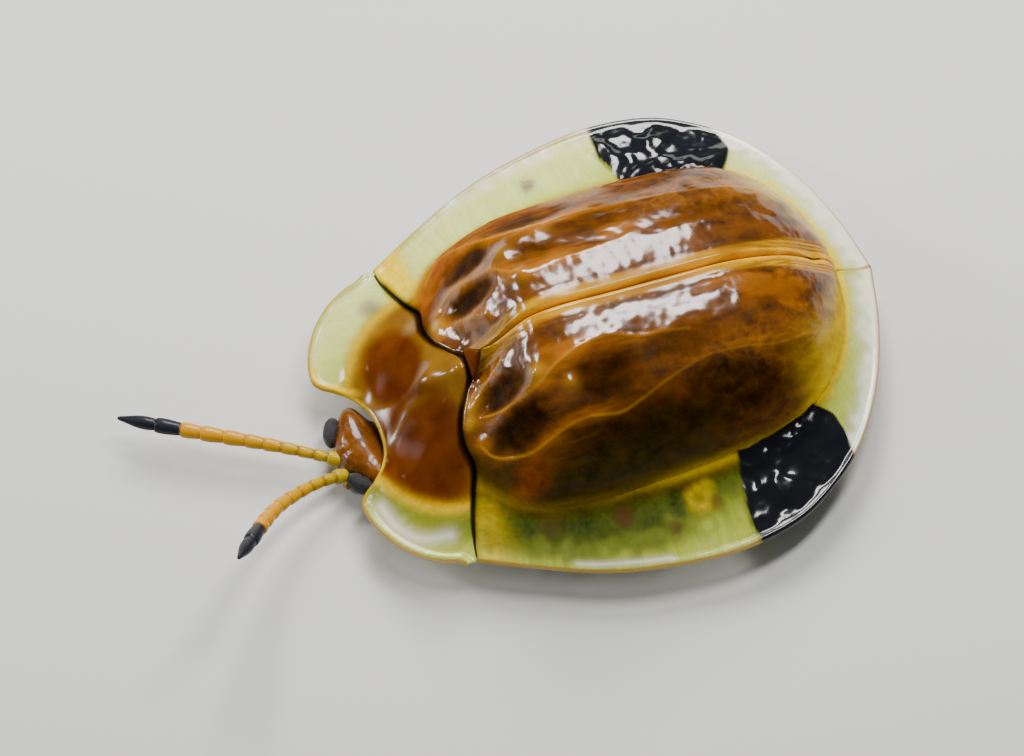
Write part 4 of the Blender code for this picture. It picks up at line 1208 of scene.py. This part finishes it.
# %% [markdown]
# The rest of the beetle is made of round forms: rings of points around a path, joined by faces.
# These helpers make a ring, a closed form through rings, a straight limb and a bent tube.

# %% Lofts
LIMB_SIDES, LIMB_RINGS = 28, 30
THINNEST_RADIUS = 0.004


def ring_around(centre, direction, half_width, half_height, sides, squareness=2.0):
    """A ring of points around a direction. Its width lies level, and squareness above 2 is boxier."""
    direction = np.asarray(direction, float) / np.linalg.norm(direction)
    sideways = np.cross(direction, [0, 0, 1.0])
    sideways /= np.linalg.norm(sideways)
    upward = np.cross(sideways, direction)
    angle = 2 * math.pi * (np.arange(sides) + 0.5) / sides
    c, s = (np.sign(part) * np.abs(part) ** (2 / squareness) for part in (np.cos(angle), np.sin(angle)))
    return centre + sideways * half_width * c[:, None] + upward * half_height * s[:, None]


def closed_loft(rings):
    """Points and faces of a closed form through rings, with a middle point at each end."""
    rings = np.asarray(rings, float)
    count, sides = rings.shape[:2]
    points = np.concatenate([rings.reshape(-1, 3), rings[:1].mean(1), rings[-1:].mean(1)])
    faces = grid_faces(count, sides, closed=True)
    first, last = count * sides, count * sides + 1
    for k in range(sides):
        faces.append((first, (k + 1) % sides, k))
        faces.append((last, last - 1 - sides + k, last - 1 - sides + (k + 1) % sides))
    return points, faces


def loft_along(centres, headings, widths, heights, sides, squareness=2.0):
    """A closed form with a ring around each centre."""
    sizes = (np.maximum(size, THINNEST_RADIUS) for size in (widths, heights))
    return closed_loft([ring_around(*row, sides, squareness) for row in zip(centres, headings, *sizes)])


def limb(start, end, stations, squareness=2.0):
    """A straight limb piece. Stations are (share of the length, half width, half height)."""
    start, end, stations = (np.asarray(part, float) for part in (start, end, stations))
    shares = np.linspace(stations[0, 0], stations[-1, 0], LIMB_RINGS)
    widths, heights = (height_along(stations[:, [0, k]], shares) for k in (1, 2))
    headings = [end - start] * LIMB_RINGS
    return loft_along(
        start + (end - start) * shares[:, None], headings, widths, heights, LIMB_SIDES, squareness)


def bent_tube(path, radii, sides, rings):
    """A round tube along a smooth path, with its radius read from a few given ones."""
    shares = np.linspace(0, 1, rings)
    centres = through(path, shares)
    wide = height_along(list(zip(np.linspace(0, 1, len(radii)), radii)), shares)
    return loft_along(centres, np.gradient(centres, axis=0), wide, wide, sides)


def together(parts):
    """Several sets of points and faces as one, each with its faces turned outward."""
    points, faces, start = [], [], 0
    for part_points, part_faces in map(outward, parts):
        points.append(part_points)
        faces += [tuple(start + v for v in face) for face in part_faces]
        start += len(part_points)
    return np.concatenate(points), faces


def outward(part):
    """The part with its faces turned outward, by the sign of its volume."""
    points, faces = part
    volume = 0.0
    for face in faces:
        a = points[face[0]]
        for b, c in zip(face[1:-1], face[2:]):
            volume += float(np.dot(a, np.cross(points[b], points[c])))
    return (points, faces) if volume > 0 else (points, [tuple(reversed(face)) for face in faces])


print("loft helpers ready")

# %% [markdown]
# Chitin that isn't glass-clear still has depth: a mottled colour, fine pits and a soft shine.
# One function makes such a finish from two colours, so the head, the legs and the underside look
# related but not the same.

# %% Make the cuticle finishes
CUTICLE_PITS, CUTICLE_DENTS = 14.0, 0.02
CUTICLE_SPECULAR, CUTICLE_COAT, CUTICLE_COAT_ROUGHNESS = 0.25, 0.3, 0.10
PALE_FLECKS, FLECK_BRIGHTNESS = 0.25, 1.5


def cuticle(name, dark, light, roughness, pits=CUTICLE_PITS, bump=0.15, coat=CUTICLE_COAT):
    """A mottled finish between two colours. Pits are counted to the millimetre."""
    material, tree, shader = new_finish(name, light, roughness)
    where = place(tree)
    broad = cloud(tree, where, 1.6, detail=5, low=0.35, high=0.68)
    fine = cloud(tree, where, pits, detail=4)
    colour = blend_colour(tree, broad, dark, light)
    flecks = tuple(min(1, FLECK_BRIGHTNESS * part) for part in light)
    fill(tree, shader, {
        "Base Color": tint(tree, colour, fine, flecks, PALE_FLECKS),
        "Roughness": blend_value(tree, fine, roughness * 0.75, roughness * 1.3),
        "Specular IOR Level": CUTICLE_SPECULAR, "Coat Weight": coat,
        "Coat Roughness": CUTICLE_COAT_ROUGHNESS,
    })
    add_dents(tree, shader, fine, bump, CUTICLE_DENTS)
    return material


HEAD_FINISH = cuticle("head_capsule", (0.065, 0.018, 0.0003), (0.17, 0.052, 0.0006), 0.24, bump=0.06)
MOUTH_FINISH = cuticle("mouthparts", (0.20, 0.07, 0.006), (0.40, 0.17, 0.02), 0.30)
LEG_FINISH = cuticle("leg_cuticle", (0.34, 0.15, 0.012), (0.56, 0.30, 0.03), 0.32)
UNDERSIDE_FINISH = cuticle("underside_plates", (0.20, 0.075, 0.006), (0.42, 0.18, 0.015), 0.32, pits=9.0)
CLAW_FINISH = cuticle("claws", (0.05, 0.015, 0.003), (0.16, 0.05, 0.006), 0.20, coat=0.5)
EYE_FINISH = cuticle("compound_eye", (0.004, 0.004, 0.005), (0.012, 0.011, 0.012), 0.14, coat=0.6)
JOINT_FINISH = cuticle("joint_skin", (0.004, 0.0018, 0.0004), (0.014, 0.006, 0.001), 0.45, coat=0.0)
print("materials so far:", len(bpy.data.materials))

# %% [markdown]
# The pronotum and the wing cases only touch, so a narrow gap stays open between them. A thin
# dark band closes it from inside, so that the gap looks dark. It follows the joint, half hidden
# in the walls on both sides, widest on the dome and narrow in the clear rim.

# %% Make the skin in the joint
# Places along the joint: x, and half the band's width.
JOINT_BAND = (
    (-3.55, 0.02), (-3.20, 0.045), (-2.70, 0.075), (-2.20, 0.10), (2.20, 0.08), (3.00, 0.03), (3.55, 0.02),
)
JOINT_SECTIONS, JOINT_SIDES, JOINT_HALF_HEIGHT = 160, 16, 0.03


def make_joint_skin():
    """A thin dark band just under the surface, all along the joint."""
    x = np.linspace(JOINT_BAND[0][0], JOINT_BAND[-1][0], JOINT_SECTIONS)
    y, z = base_line(np.abs(x))
    depth = 0.08 + 0.08 * soft_fall(2.2, 2.9, np.abs(x))
    centres = np.stack([x, y, z - depth], -1)
    heights = np.full(JOINT_SECTIONS, JOINT_HALF_HEIGHT)
    band = loft_along(
        centres, np.gradient(centres, axis=0), height_along(JOINT_BAND, x), heights, JOINT_SIDES)
    return finished_mesh("joint_skin", *band, JOINT_FINISH)


print(dress(make_joint_skin(), "underside_plates").name, "made")

# %% [markdown]
# The head looks out of the notch in the pronotum, turned a little to the beetle's left. From the
# photograph comes the glossy orange crown. The face below it is finished as on other tortoise
# beetles: a groove down the middle, a low brow on each side of it, and a rim round each eye.

# %% Make the head
HEAD_TURN = math.radians(9.5)
NECK_Y = -3.60
# Sections from the face to the neck: y, the middle's height, the half width and the half height.
HEAD_SECTIONS = (
    (-5.19, 0.56, 0.16, 0.10), (-5.13, 0.59, 0.30, 0.17), (-5.04, 0.63, 0.45, 0.23),
    (-4.94, 0.66, 0.59, 0.27), (-4.80, 0.68, 0.80, 0.30), (-4.62, 0.68, 0.97, 0.31),
    (-4.46, 0.65, 1.03, 0.30), (-4.32, 0.60, 0.95, 0.26), (-4.16, 0.52, 0.62, 0.20),
    (-3.95, 0.44, 0.46, 0.16), (-3.71, 0.44, 0.44, 0.16),
)
HEAD_RINGS, HEAD_SIDES, HEAD_SQUARENESS = 110, 120, 2.15
BROW_X, BROW_Y, BROW_SIZE = 0.17, -5.05, 0.10
ORBIT_RADIUS = 0.26
EYE_CENTRE, EYE_RADII, EYE_TILT = (0.69, -5.00, 0.60), (0.35, 0.20, 0.25), math.radians(30)


def turned(points):
    """Points of the head, turned with it about the neck."""
    points = np.asarray(points, float)
    c, s = math.cos(HEAD_TURN), math.sin(HEAD_TURN)
    x, y, z = points[..., 0], points[..., 1] - NECK_Y, points[..., 2]
    return np.stack([x * c - y * s, NECK_Y + x * s + y * c, z], -1)


def make_head():
    """The head's smooth form, with the fine relief of its face."""
    rings = np.array([
        ring_around(np.array([0, y, middle]), (0, 1, 0), half_width, half_height, HEAD_SIDES, HEAD_SQUARENESS)
        for y, middle, half_width, half_height in through(HEAD_SECTIONS, np.linspace(0, 1, HEAD_RINGS))
    ])
    outwards = rings - rings.mean(axis=1, keepdims=True)
    outwards /= np.linalg.norm(outwards, axis=-1, keepdims=True)
    x, y = rings[..., 0], rings[..., 1]
    crown = soft_step(0.0, 0.3, outwards[..., 2]) * soft_fall(-4.50, -4.35, y)
    groove = bell(x, 0.035) * soft_step(-5.10, -4.90, y)
    brows = np.exp(-(((np.abs(x) - BROW_X) / BROW_SIZE) ** 2 + ((y - BROW_Y) / BROW_SIZE) ** 2))
    from_eye = np.hypot((x - np.sign(x) * EYE_CENTRE[0]) / 1.4, y + 4.98)
    orbits = bell(from_eye - ORBIT_RADIUS, 0.05)
    lift = crown * (0.03 * brows - 0.018 * groove + 0.02 * orbits)
    lift += 0.006 * grain(rings, 0.12, 4.0) * crown + 0.012 * grain(rings, 0.4, 9.0)
    points, faces = closed_loft(rings + outwards * lift[..., None])
    return finished_mesh("head_skin", turned(points), faces, HEAD_FINISH)


print(dress(make_head(), "head_capsule", "head").name, "made")

# %% [markdown]
# A compound eye is a bead packed with hundreds of six-sided lenses. An ico sphere has points that
# are spread almost as evenly as the real lenses are, so Geometry Nodes put a small dome on each.

# %% Make the eyes
LENS_RADIUS, LENS_HEIGHT = 0.0125, 0.75
LENS_SIDES, LENS_RINGS = 6, 4
BEAD_FINENESS, BEAD_INSET = 5, 0.008


def new_tree(name, sizes):
    """A Geometry Nodes tree with named number inputs, and its first and last node."""
    tree = bpy.data.node_groups.new(name, "GeometryNodeTree")
    tree.interface.new_socket("Geometry", in_out="INPUT", socket_type="NodeSocketGeometry")
    tree.interface.new_socket("Geometry", in_out="OUTPUT", socket_type="NodeSocketGeometry")
    for size, kind in sizes.items():
        tree.interface.new_socket(size, in_out="INPUT", socket_type=kind)
    return tree, tree.nodes.new("NodeGroupInput"), tree.nodes.new("NodeGroupOutput")


def put_on_points(tree, start, instance, heading, scale):
    """Puts an instance on each point of the tree's input, turned along a heading."""
    facing = add_node(tree, "FunctionNodeAlignRotationToVector", {"axis": "Z"}, Vector=heading)
    return add_node(
        tree, "GeometryNodeInstanceOnPoints", Points=start.outputs[0], Instance=instance,
        Rotation=facing.outputs[0], Scale=scale,
    ).outputs[0]


def end_tree(tree, geometry, output, material):
    """Ends a tree: instances made real, then the material."""
    real = add_node(tree, "GeometryNodeRealizeInstances", Geometry=geometry)
    dressed = add_node(tree, "GeometryNodeSetMaterial", Geometry=real.outputs[0], Material=material)
    tree.links.new(dressed.outputs[0], output.inputs[0])
    return tree


def grow(name, base_mesh, tree, values):
    """Runs a tree on a mesh and returns the result as a plain mesh object."""
    base = bpy.data.objects.new(name, base_mesh)
    bpy.context.scene.collection.objects.link(base)
    step = base.modifiers.new("grow", "NODES")
    step.node_group = tree
    for socket in tree.interface.items_tree:
        if socket.in_out == "INPUT" and socket.name in values:
            step[socket.identifier] = values[socket.name]
    graph = bpy.context.evaluated_depsgraph_get()
    mesh = bpy.data.meshes.new_from_object(base.evaluated_get(graph))
    base.modifiers.clear()
    base.data = mesh
    mesh.shade_smooth()
    return base


def lens_tree():
    """A small six-sided dome on each point of a bead, and the bead itself."""
    sizes = {"Lens radius": "NodeSocketFloat", "Lens height": "NodeSocketFloat"}
    tree, start, end = new_tree("lenses", sizes)
    radius, height = (start.outputs[size] for size in sizes)
    dome = add_node(
        tree, "GeometryNodeMeshUVSphere", Segments=LENS_SIDES, Rings=LENS_RINGS, Radius=radius)
    scale = add_node(tree, "ShaderNodeCombineXYZ", X=1.0, Y=1.0, Z=height).outputs[0]
    normal = add_node(tree, "GeometryNodeInputNormal").outputs[0]
    packed = put_on_points(tree, start, dome.outputs["Mesh"], normal, scale)
    both = add_node(tree, "GeometryNodeJoinGeometry")
    for part in (packed, start.outputs[0]):
        tree.links.new(part, both.inputs[0])
    return end_tree(tree, both.outputs[0], end, EYE_FINISH)


def make_eye(name, side, tree):
    """One eye: an oval bead, tilted and turned with the head, with its lenses."""
    bead = bmesh.new()
    bmesh.ops.create_icosphere(bead, subdivisions=BEAD_FINENESS, radius=1.0)
    c, s = math.cos(EYE_TILT), math.sin(EYE_TILT)
    for vert in bead.verts:
        long, wide, high = np.array(vert.co) * (np.array(EYE_RADII) - BEAD_INSET)
        spot = np.array([long * c - wide * s, long * s + wide * c, high]) + np.array(EYE_CENTRE)
        spot[0] *= side
        vert.co = Vector((turned(spot) + SHIFT) * MM)
    if side < 0:
        bmesh.ops.reverse_faces(bead, faces=bead.faces)
    mesh = bpy.data.meshes.new(name)
    bead.to_mesh(mesh)
    bead.free()
    return grow(name, mesh, tree, {"Lens radius": LENS_RADIUS * MM, "Lens height": LENS_HEIGHT})


LENSES = lens_tree()
for side, word in ((1, "left"), (-1, "right")):
    eye = dress(make_eye("eye_lenses_" + word, side, LENSES), "compound_eye", "eye_" + word)
    print(eye.name, len(eye.data.polygons), "faces")

# %% [markdown]
# A feeler has eleven segments, each narrow at its base and fuller towards its tip, like beads on
# a string. Geometry Nodes place one segment at each joint of the path, and turn and stretch it to
# the next joint. The colour goes from clear yellow at the base to blue-black on the last two.

# %% The feelers' finish and segments
ANTENNA_RADIUS = 0.175
SEGMENT_SIDES, SEGMENT_RINGS, SEGMENT_WAIST = 32, 18, 0.5
# A segment's thickness from its base to its tip, as (share of its length, share of its radius).
SEGMENT_ENDS = (0.62, 0.60)
SEGMENT_SWELL = ((0.08, 0.80), (0.35, 0.92), (0.75, 1.0), (0.95, 0.90))
ANTENNA_SPECULAR, ANTENNA_COAT, ANTENNA_DENTS = 0.15, 0.16, 0.012


def antenna_finish():
    """Yellow, turning to orange towards the tip, brown at the joints and blue-black at the end."""
    material, tree, shader = new_finish("antenna_segments", (0.6, 0.35, 0.03), 0.3)
    fine = cloud(tree, place(tree), 12.0, detail=4)
    base = blend_colour(tree, mask_of(tree, "share"), (0.36, 0.285, 0.0), (0.62, 0.225, 0.0))
    base = tint(tree, base, fine, (0.70, 0.43, 0.001), 0.25)
    base = tint(tree, base, "joint", (0.20, 0.090, 0.001), 0.75)
    fill(tree, shader, {
        "Base Color": tint(tree, base, "black", (0.010, 0.012, 0.020)),
        "Roughness": blend_value(tree, mask_of(tree, "black"), 0.26, 0.48),
        "Specular IOR Level": ANTENNA_SPECULAR, "Coat Weight": ANTENNA_COAT,
    })
    add_dents(tree, shader, fine, 0.2, ANTENNA_DENTS)
    return material


def swelling(tree):
    """The segment's thickness along its length, as a curve."""
    place_on = add_node(tree, "GeometryNodeSplineParameter").outputs["Factor"]
    swell = add_node(tree, "ShaderNodeFloatCurve", Value=place_on)
    bend = swell.mapping.curves[0]
    for share, thickness in SEGMENT_SWELL:
        bend.points.new(share, thickness)
    bend.points[0].location = (0, SEGMENT_ENDS[0])
    bend.points[-1].location = (1, SEGMENT_ENDS[1])
    swell.mapping.update()
    return swell.outputs[0]


def named_vector(tree, name):
    """Three numbers that each point carries under a name."""
    kind = {"data_type": "FLOAT_VECTOR"}
    return add_node(tree, "GeometryNodeInputNamedAttribute", kind, Name=name).outputs[0]


def segment_tree(finish):
    """One round segment on each point, along its heading, from its girth and length attributes."""
    tree, start, end = new_tree("segments", {"Sides": "NodeSocketInt", "Waist": "NodeSocketFloat"})
    sides, waist = start.outputs["Sides"], start.outputs["Waist"]
    axis = add_node(tree, "GeometryNodeCurvePrimitiveLine", Start=(0, 0, 0), End=(0, 0, 1))
    axis = add_node(tree, "GeometryNodeResampleCurve", Curve=axis.outputs[0], Count=SEGMENT_RINGS)
    girth = combine(tree, "MAXIMUM", swelling(tree), waist)
    ring = add_node(tree, "GeometryNodeCurvePrimitiveCircle", Resolution=sides, Radius=1.0)
    bead = add_node(
        tree, "GeometryNodeCurveToMesh", Curve=axis.outputs[0], i1=ring.outputs[0], Scale=girth)
    bead.inputs["Fill Caps"].default_value = True
    strung = put_on_points(
        tree, start, bead.outputs[0], named_vector(tree, "heading"), named_vector(tree, "size"))
    return end_tree(tree, strung, end, finish)


SEGMENTS = segment_tree(antenna_finish())
print("nodes in the segments' tree:", len(SEGMENTS.nodes))

# %% [markdown]
# Each feeler's path runs from its socket to its tip. The right one lies almost straight, and the
# left one bends up and to the side. The last segment is drawn out to a point.

# %% Make the feelers
ANTENNAE = {
    "left": ((0.60, -5.10, 0.60), (0.66, -5.56, 0.80), (0.84, -6.12, 1.08), (1.42, -6.95, 1.80),
             (3.00, -8.02, 3.68)),
    "right": ((0.24, -5.10, 0.60), (-0.06, -5.60, 0.67), (-0.62, -6.50, 0.72), (-1.42, -7.90, 0.78),
              (-2.30, -9.35, 0.76)),
}
# Lengths of the segments from the base to the tip, in parts of the feeler, and their girths.
SEGMENT_SHARES = {
    "left": (13, 14, 16, 17, 18, 18, 21, 21, 18, 33, 44),
    "right": (13, 14, 16, 17, 18, 18, 22, 23, 20, 26, 37),
}
SEGMENT_GIRTHS = (0.95, 0.74, 0.74, 0.80, 0.86, 0.90, 0.96, 1.0, 1.0, 1.0, 0.95)
# Each segment starts this share of its length before its joint, and is this much longer.
SEGMENT_OVERLAP, SEGMENT_STRETCH = 0.05, 1.12
TIP_TAPER = 0.72
MEASURE_STEPS, SHADE_STEPS = 400, 300


def antenna_joints(side):
    """The places of the joints along a feeler's path, from its base to its tip."""
    shares = np.cumsum((0,) + SEGMENT_SHARES[side]) / sum(SEGMENT_SHARES[side])
    fine = through(ANTENNAE[side], np.linspace(0, 1, MEASURE_STEPS))
    run = np.concatenate([[0], np.cumsum(np.linalg.norm(np.diff(fine, axis=0), axis=1))])
    return np.stack([np.interp(shares, run / run[-1], fine[:, k]) for k in range(3)], -1)


def string_of_points(side, joints, steps, lengths):
    """A mesh with a point at each joint, which carries its segment's heading and size."""
    mesh = bpy.data.meshes.new("antenna_" + side)
    starts = (joints[:-1] - steps * SEGMENT_OVERLAP + SHIFT) * MM
    mesh.from_pydata(starts.tolist(), [], [])
    girths = ANTENNA_RADIUS * np.array(SEGMENT_GIRTHS)
    add_attribute(mesh, "heading", steps)
    add_attribute(mesh, "size", np.stack([girths, girths, lengths * SEGMENT_STRETCH], -1) * MM)
    return mesh


def drawn_to_a_point(spots, start, step, length):
    """The feeler's points, with those of the last segment drawn in towards its tip."""
    along = ((spots - start) @ (step / length) / length)[:, None]
    axis = start + np.clip(along, 0, None) * step
    slimmer = 1 - TIP_TAPER * soft_step(0.25, 1.15, along) * (along > 0)
    return np.where(along > 0, axis + (spots - axis) * slimmer, spots)


def make_antenna(side, tree):
    """One feeler, with the masks for its finish."""
    joints = antenna_joints(side)
    steps = np.diff(joints, axis=0)
    lengths = np.linalg.norm(steps, axis=1)
    base = string_of_points(side, joints, steps, lengths)
    thing = grow("antenna_beads_" + side, base, tree, {"Sides": SEGMENT_SIDES, "Waist": SEGMENT_WAIST})
    spots = np.empty(len(thing.data.vertices) * 3)
    thing.data.vertices.foreach_get("co", spots)
    spots = spots.reshape(-1, 3) / MM - SHIFT
    spots = drawn_to_a_point(spots, joints[-2], steps[-1], lengths[-1])
    thing.data.vertices.foreach_set("co", ((spots + SHIFT) * MM).ravel())

    to_joints = np.linalg.norm(spots[:, None] - joints[None], axis=-1)[:, 1:].min(axis=1)
    fine = through(ANTENNAE[side], np.linspace(0, 1, SHADE_STEPS))
    nearest = np.linalg.norm(spots[:, None] - fine[None], axis=-1).argmin(axis=1)
    add_attribute(thing.data, "share", nearest / (SHADE_STEPS - 1))
    add_attribute(thing.data, "joint", soft_fall(0.55, 0.95, to_joints / ANTENNA_RADIUS))
    past_black = (spots - joints[-3]) @ (steps[-2] / lengths[-2])
    add_attribute(thing.data, "black", soft_step(-0.03, 0.05, past_black))
    return thing


for side in ANTENNAE:
    feeler = dress(make_antenna(side, SEGMENTS), "antenna_segments", "antenna_" + side)
    print(feeler.name, len(feeler.data.polygons), "faces")

# %% [markdown]
# The mouthparts hide under the head. A short upper lip covers the jaws, and a jointed palp stands
# on each side.

# %% Make the mouthparts
# The lip as stations along a limb. The palp and the jaw as a path and the radii along it.
LIP_ENDS = ((0, -5.12, 0.20), (0, -4.60, 0.20))
LIP_FORM = ((0, 0.13, 0.05), (0.15, 0.28, 0.09), (0.6, 0.34, 0.10), (1.0, 0.2, 0.08))
LIP_SQUARENESS = 3
PALP_PATH = ((0.20, -4.78, 0.19), (0.38, -4.92, 0.17), (0.40, -5.12, 0.16), (0.32, -5.30, 0.16))
PALP_RADII = (0.09, 0.12, 0.085, 0.125, 0.09, 0.12, 0.03)
JAW_PATH = ((0.26, -4.92, 0.17), (0.24, -5.10, 0.14), (0.10, -5.19, 0.12))
JAW_RADII = (0.10, 0.09, 0.02)
MOUTH_SIDES, MOUTH_RINGS = 20, 40


def make_mouth():
    """The lip, and a palp and a jaw on each side, turned with the head."""
    parts = [limb(*LIP_ENDS, LIP_FORM, LIP_SQUARENESS)]
    for side in (1, -1):
        flip = np.array([side, 1, 1])
        for path, radii in ((PALP_PATH, PALP_RADII), (JAW_PATH, JAW_RADII)):
            parts.append(bent_tube(np.array(path) * flip, radii, MOUTH_SIDES, MOUTH_RINGS))
    points, faces = together(parts)
    return finished_mesh("mouth_skin", turned(points), faces, MOUTH_FINISH)


print(dress(make_mouth(), "head_capsule", "mouthparts").name, "made")

# %% [markdown]
# The real foot stands on a felt of short pale hairs, far too fine to see here as hairs. So the
# lowest tenth of a millimetre of the legs' finish turns pale and rough.

# %% Give the feet their felt
FELT_FROM, FELT_TO = 0.02, 0.10
FELT_ROUGHNESS = 0.85


def felt_soles(material):
    """Adds the felt to a finish that already has a colour and a roughness."""
    tree = material.node_tree
    shader = tree.nodes["Principled BSDF"]
    where = place(tree)
    height = add_node(tree, "ShaderNodeSeparateXYZ", Vector=where).outputs["Z"]
    sole = fade_out(tree, height, FELT_FROM, FELT_TO)
    felt = blend_colour(tree, cloud(tree, where, 22.0, detail=4), (0.50, 0.33, 0.10), (0.80, 0.60, 0.28))
    skin, shine = (shader.inputs[name].links[0].from_socket for name in ("Base Color", "Roughness"))
    fill(tree, shader, {
        "Base Color": blend_colour(tree, sole, skin, felt),
        "Roughness": blend_value(tree, sole, shine, FELT_ROUGHNESS),
    })


felt_soles(LEG_FINISH)
print("nodes in the legs' finish:", len(LEG_FINISH.node_tree.nodes))

# %% [markdown]
# Six legs hold the beetle just above the floor. Each has a round hip, a thick thigh, a shin that
# widens to its end, and a flat foot of lobes with two hooked claws. All six come from one
# function and the joints' places.

# %% Make the legs
# The hip, the knee, the ankle and the toe of each left leg: x and y. Their heights are the same.
LEGS = {
    "front": ((0.62, -2.48), (2.15, -2.38), (2.25, -3.35), (1.85, -4.15)),
    "middle": ((0.85, -0.60), (2.50, -0.25), (2.75, -1.20), (3.05, -2.00)),
    "hind": ((0.75, 0.85), (2.50, 1.30), (2.75, 2.45), (3.05, 3.35)),
}
LEG_HEIGHTS = (0.44, 0.47, 0.30, 0.0)
HIP_DROP, HIP_TOP_Z = 0.20, 0.62
# A form's sideways direction comes from its heading, so an upright one leans by this little.
HIP_LEAN = 1e-3
FEMUR_RADIUS, TIBIA_RADIUS = 0.25, 0.21
FOOT_HALF_WIDTH, FOOT_HALF_HEIGHT = 0.26, 0.20
HEEL_SINK, TOE_SINK = 0.03, 0.06
LOBE_SQUARENESS = 2.5
# The forms along each part: the share of its length, and shares of its half width and half height.
HIP_FORM = ((0, 0.10, 0.10), (0.12, 0.26, 0.26), (0.4, 0.35, 0.35), (0.9, 0.35, 0.35), (1, 0.30, 0.30))
FEMUR_FORM = (
    (-0.05, 0.4, 0.4), (0.05, 0.75, 0.75), (0.13, 0.72, 0.7), (0.35, 1.04, 1), (0.7, 1.02, 1),
    (0.93, 0.72, 0.74), (1.05, 0.25, 0.25),
)
TIBIA_FORM = (
    (-0.10, 0.3, 0.3), (-0.03, 0.72, 0.72), (0.12, 0.85, 0.85), (0.8, 1.12, 1), (0.98, 1.12, 0.95),
    (1.05, 0.5, 0.5),
)
CLAW_JOINT_FORM = ((0, 0.3, 0.5), (0.3, 0.42, 0.75), (0.85, 0.48, 0.75), (1, 0.2, 0.3))
# The foot's lobes: where each starts and stops, and shares of its neck, its width and its height.
LOBES = (
    (-0.10, 0.30, 0.60, 0.95, 1.00), (0.20, 0.58, 0.55, 1.12, 0.95), (0.46, 0.93, 0.70, 1.30, 0.88),
)
# A claw's path from the toe, as forward, sideways and up, and its radii.
CLAW_PATH = ((-0.06, 0.04, 0.0), (0.03, 0.12, 0.05), (0.09, 0.18, -0.01), (0.08, 0.20, -0.10))
CLAW_RADII = (0.06, 0.055, 0.04, 0.006)
CLAW_SIDES, CLAW_RINGS = 14, 24


def scaled(form, half_width, half_height):
    """A form's stations in millimetres."""
    return [(share, wide * half_width, high * half_height) for share, wide, high in form]


def lobe_form(start, stop, neck, wide, high):
    """One lobe of a foot: narrow where it starts, and widest near its end."""
    length = stop - start
    return (
        (start, 0.25, 0.3), (start + 0.12 * length, neck, 0.75), (start + 0.55 * length, 0.92 * wide, high),
        (start + 0.86 * length, wide, 0.9 * high), (stop, 0.55, 0.5),
    )


def on_floor(part):
    """Presses what lies under the floor flat onto it, as a soft foot pad is."""
    points, faces = part
    points = points.copy()
    points[:, 2] = np.maximum(points[:, 2], 0.0)
    return points, faces


def make_leg(pair, side):
    """One leg. Gives its name, its toe and the way the foot points, for the claws."""
    turn = np.array([side, 1, 1])
    hip, knee, ankle, tip = (np.array([*spot, z]) * turn for spot, z in zip(LEGS[pair], LEG_HEIGHTS))
    foot = FOOT_HALF_WIDTH, FOOT_HALF_HEIGHT
    heel, toe = ankle.copy(), tip + [0, 0, FOOT_HALF_HEIGHT - TOE_SINK]
    heel[2] = FOOT_HALF_HEIGHT - HEEL_SINK
    along = (toe - heel) / np.linalg.norm(toe - heel)
    parts = [
        limb(hip - [0, 0, HIP_DROP], hip + [HIP_LEAN, 0, HIP_TOP_Z - hip[2]], HIP_FORM),
        limb(hip, knee, scaled(FEMUR_FORM, FEMUR_RADIUS, FEMUR_RADIUS)),
        limb(knee, ankle, scaled(TIBIA_FORM, TIBIA_RADIUS, TIBIA_RADIUS)),
    ]
    for lobe in LOBES:
        parts.append(limb(heel, toe, scaled(lobe_form(*lobe), *foot), LOBE_SQUARENESS))
    parts.append(limb(toe - along * 0.30, toe + along * 0.05, scaled(CLAW_JOINT_FORM, *foot)))
    points, faces = together([on_floor(part) for part in parts])
    name = pair + ("_left" if side == 1 else "_right")
    leg = finished_mesh("leg_skin_" + name, points, faces, LEG_FINISH)
    dress(leg, "leg_cuticle", "leg_" + name)
    return name, toe, along


def make_claws(name, toe, along):
    """Two hooked claws that spread from the foot's tip and point down."""
    sideways = np.cross(along, [0, 0, 1.0])
    parts = []
    for turn in (1, -1):
        path = [toe + along * ahead + sideways * turn * out + [0, 0, up] for ahead, out, up in CLAW_PATH]
        parts.append(bent_tube(path, CLAW_RADII, CLAW_SIDES, CLAW_RINGS))
    points, faces = together(parts)
    return dress(finished_mesh("claws_" + name, points, faces, CLAW_FINISH), "leg_cuticle")


for pair in LEGS:
    for side in (1, -1):
        print(make_claws(*make_leg(pair, side)).name, "and its leg made")

# %% [markdown]
# The plates of the underside are already right as solids, so they stay and only get a finish.

# %% Finish the underside
for node in ("prothorax", "thorax", "abdomen"):
    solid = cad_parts[node]
    solid.data.materials.clear()
    solid.data.materials.append(UNDERSIDE_FINISH)
print("underside plates finished")
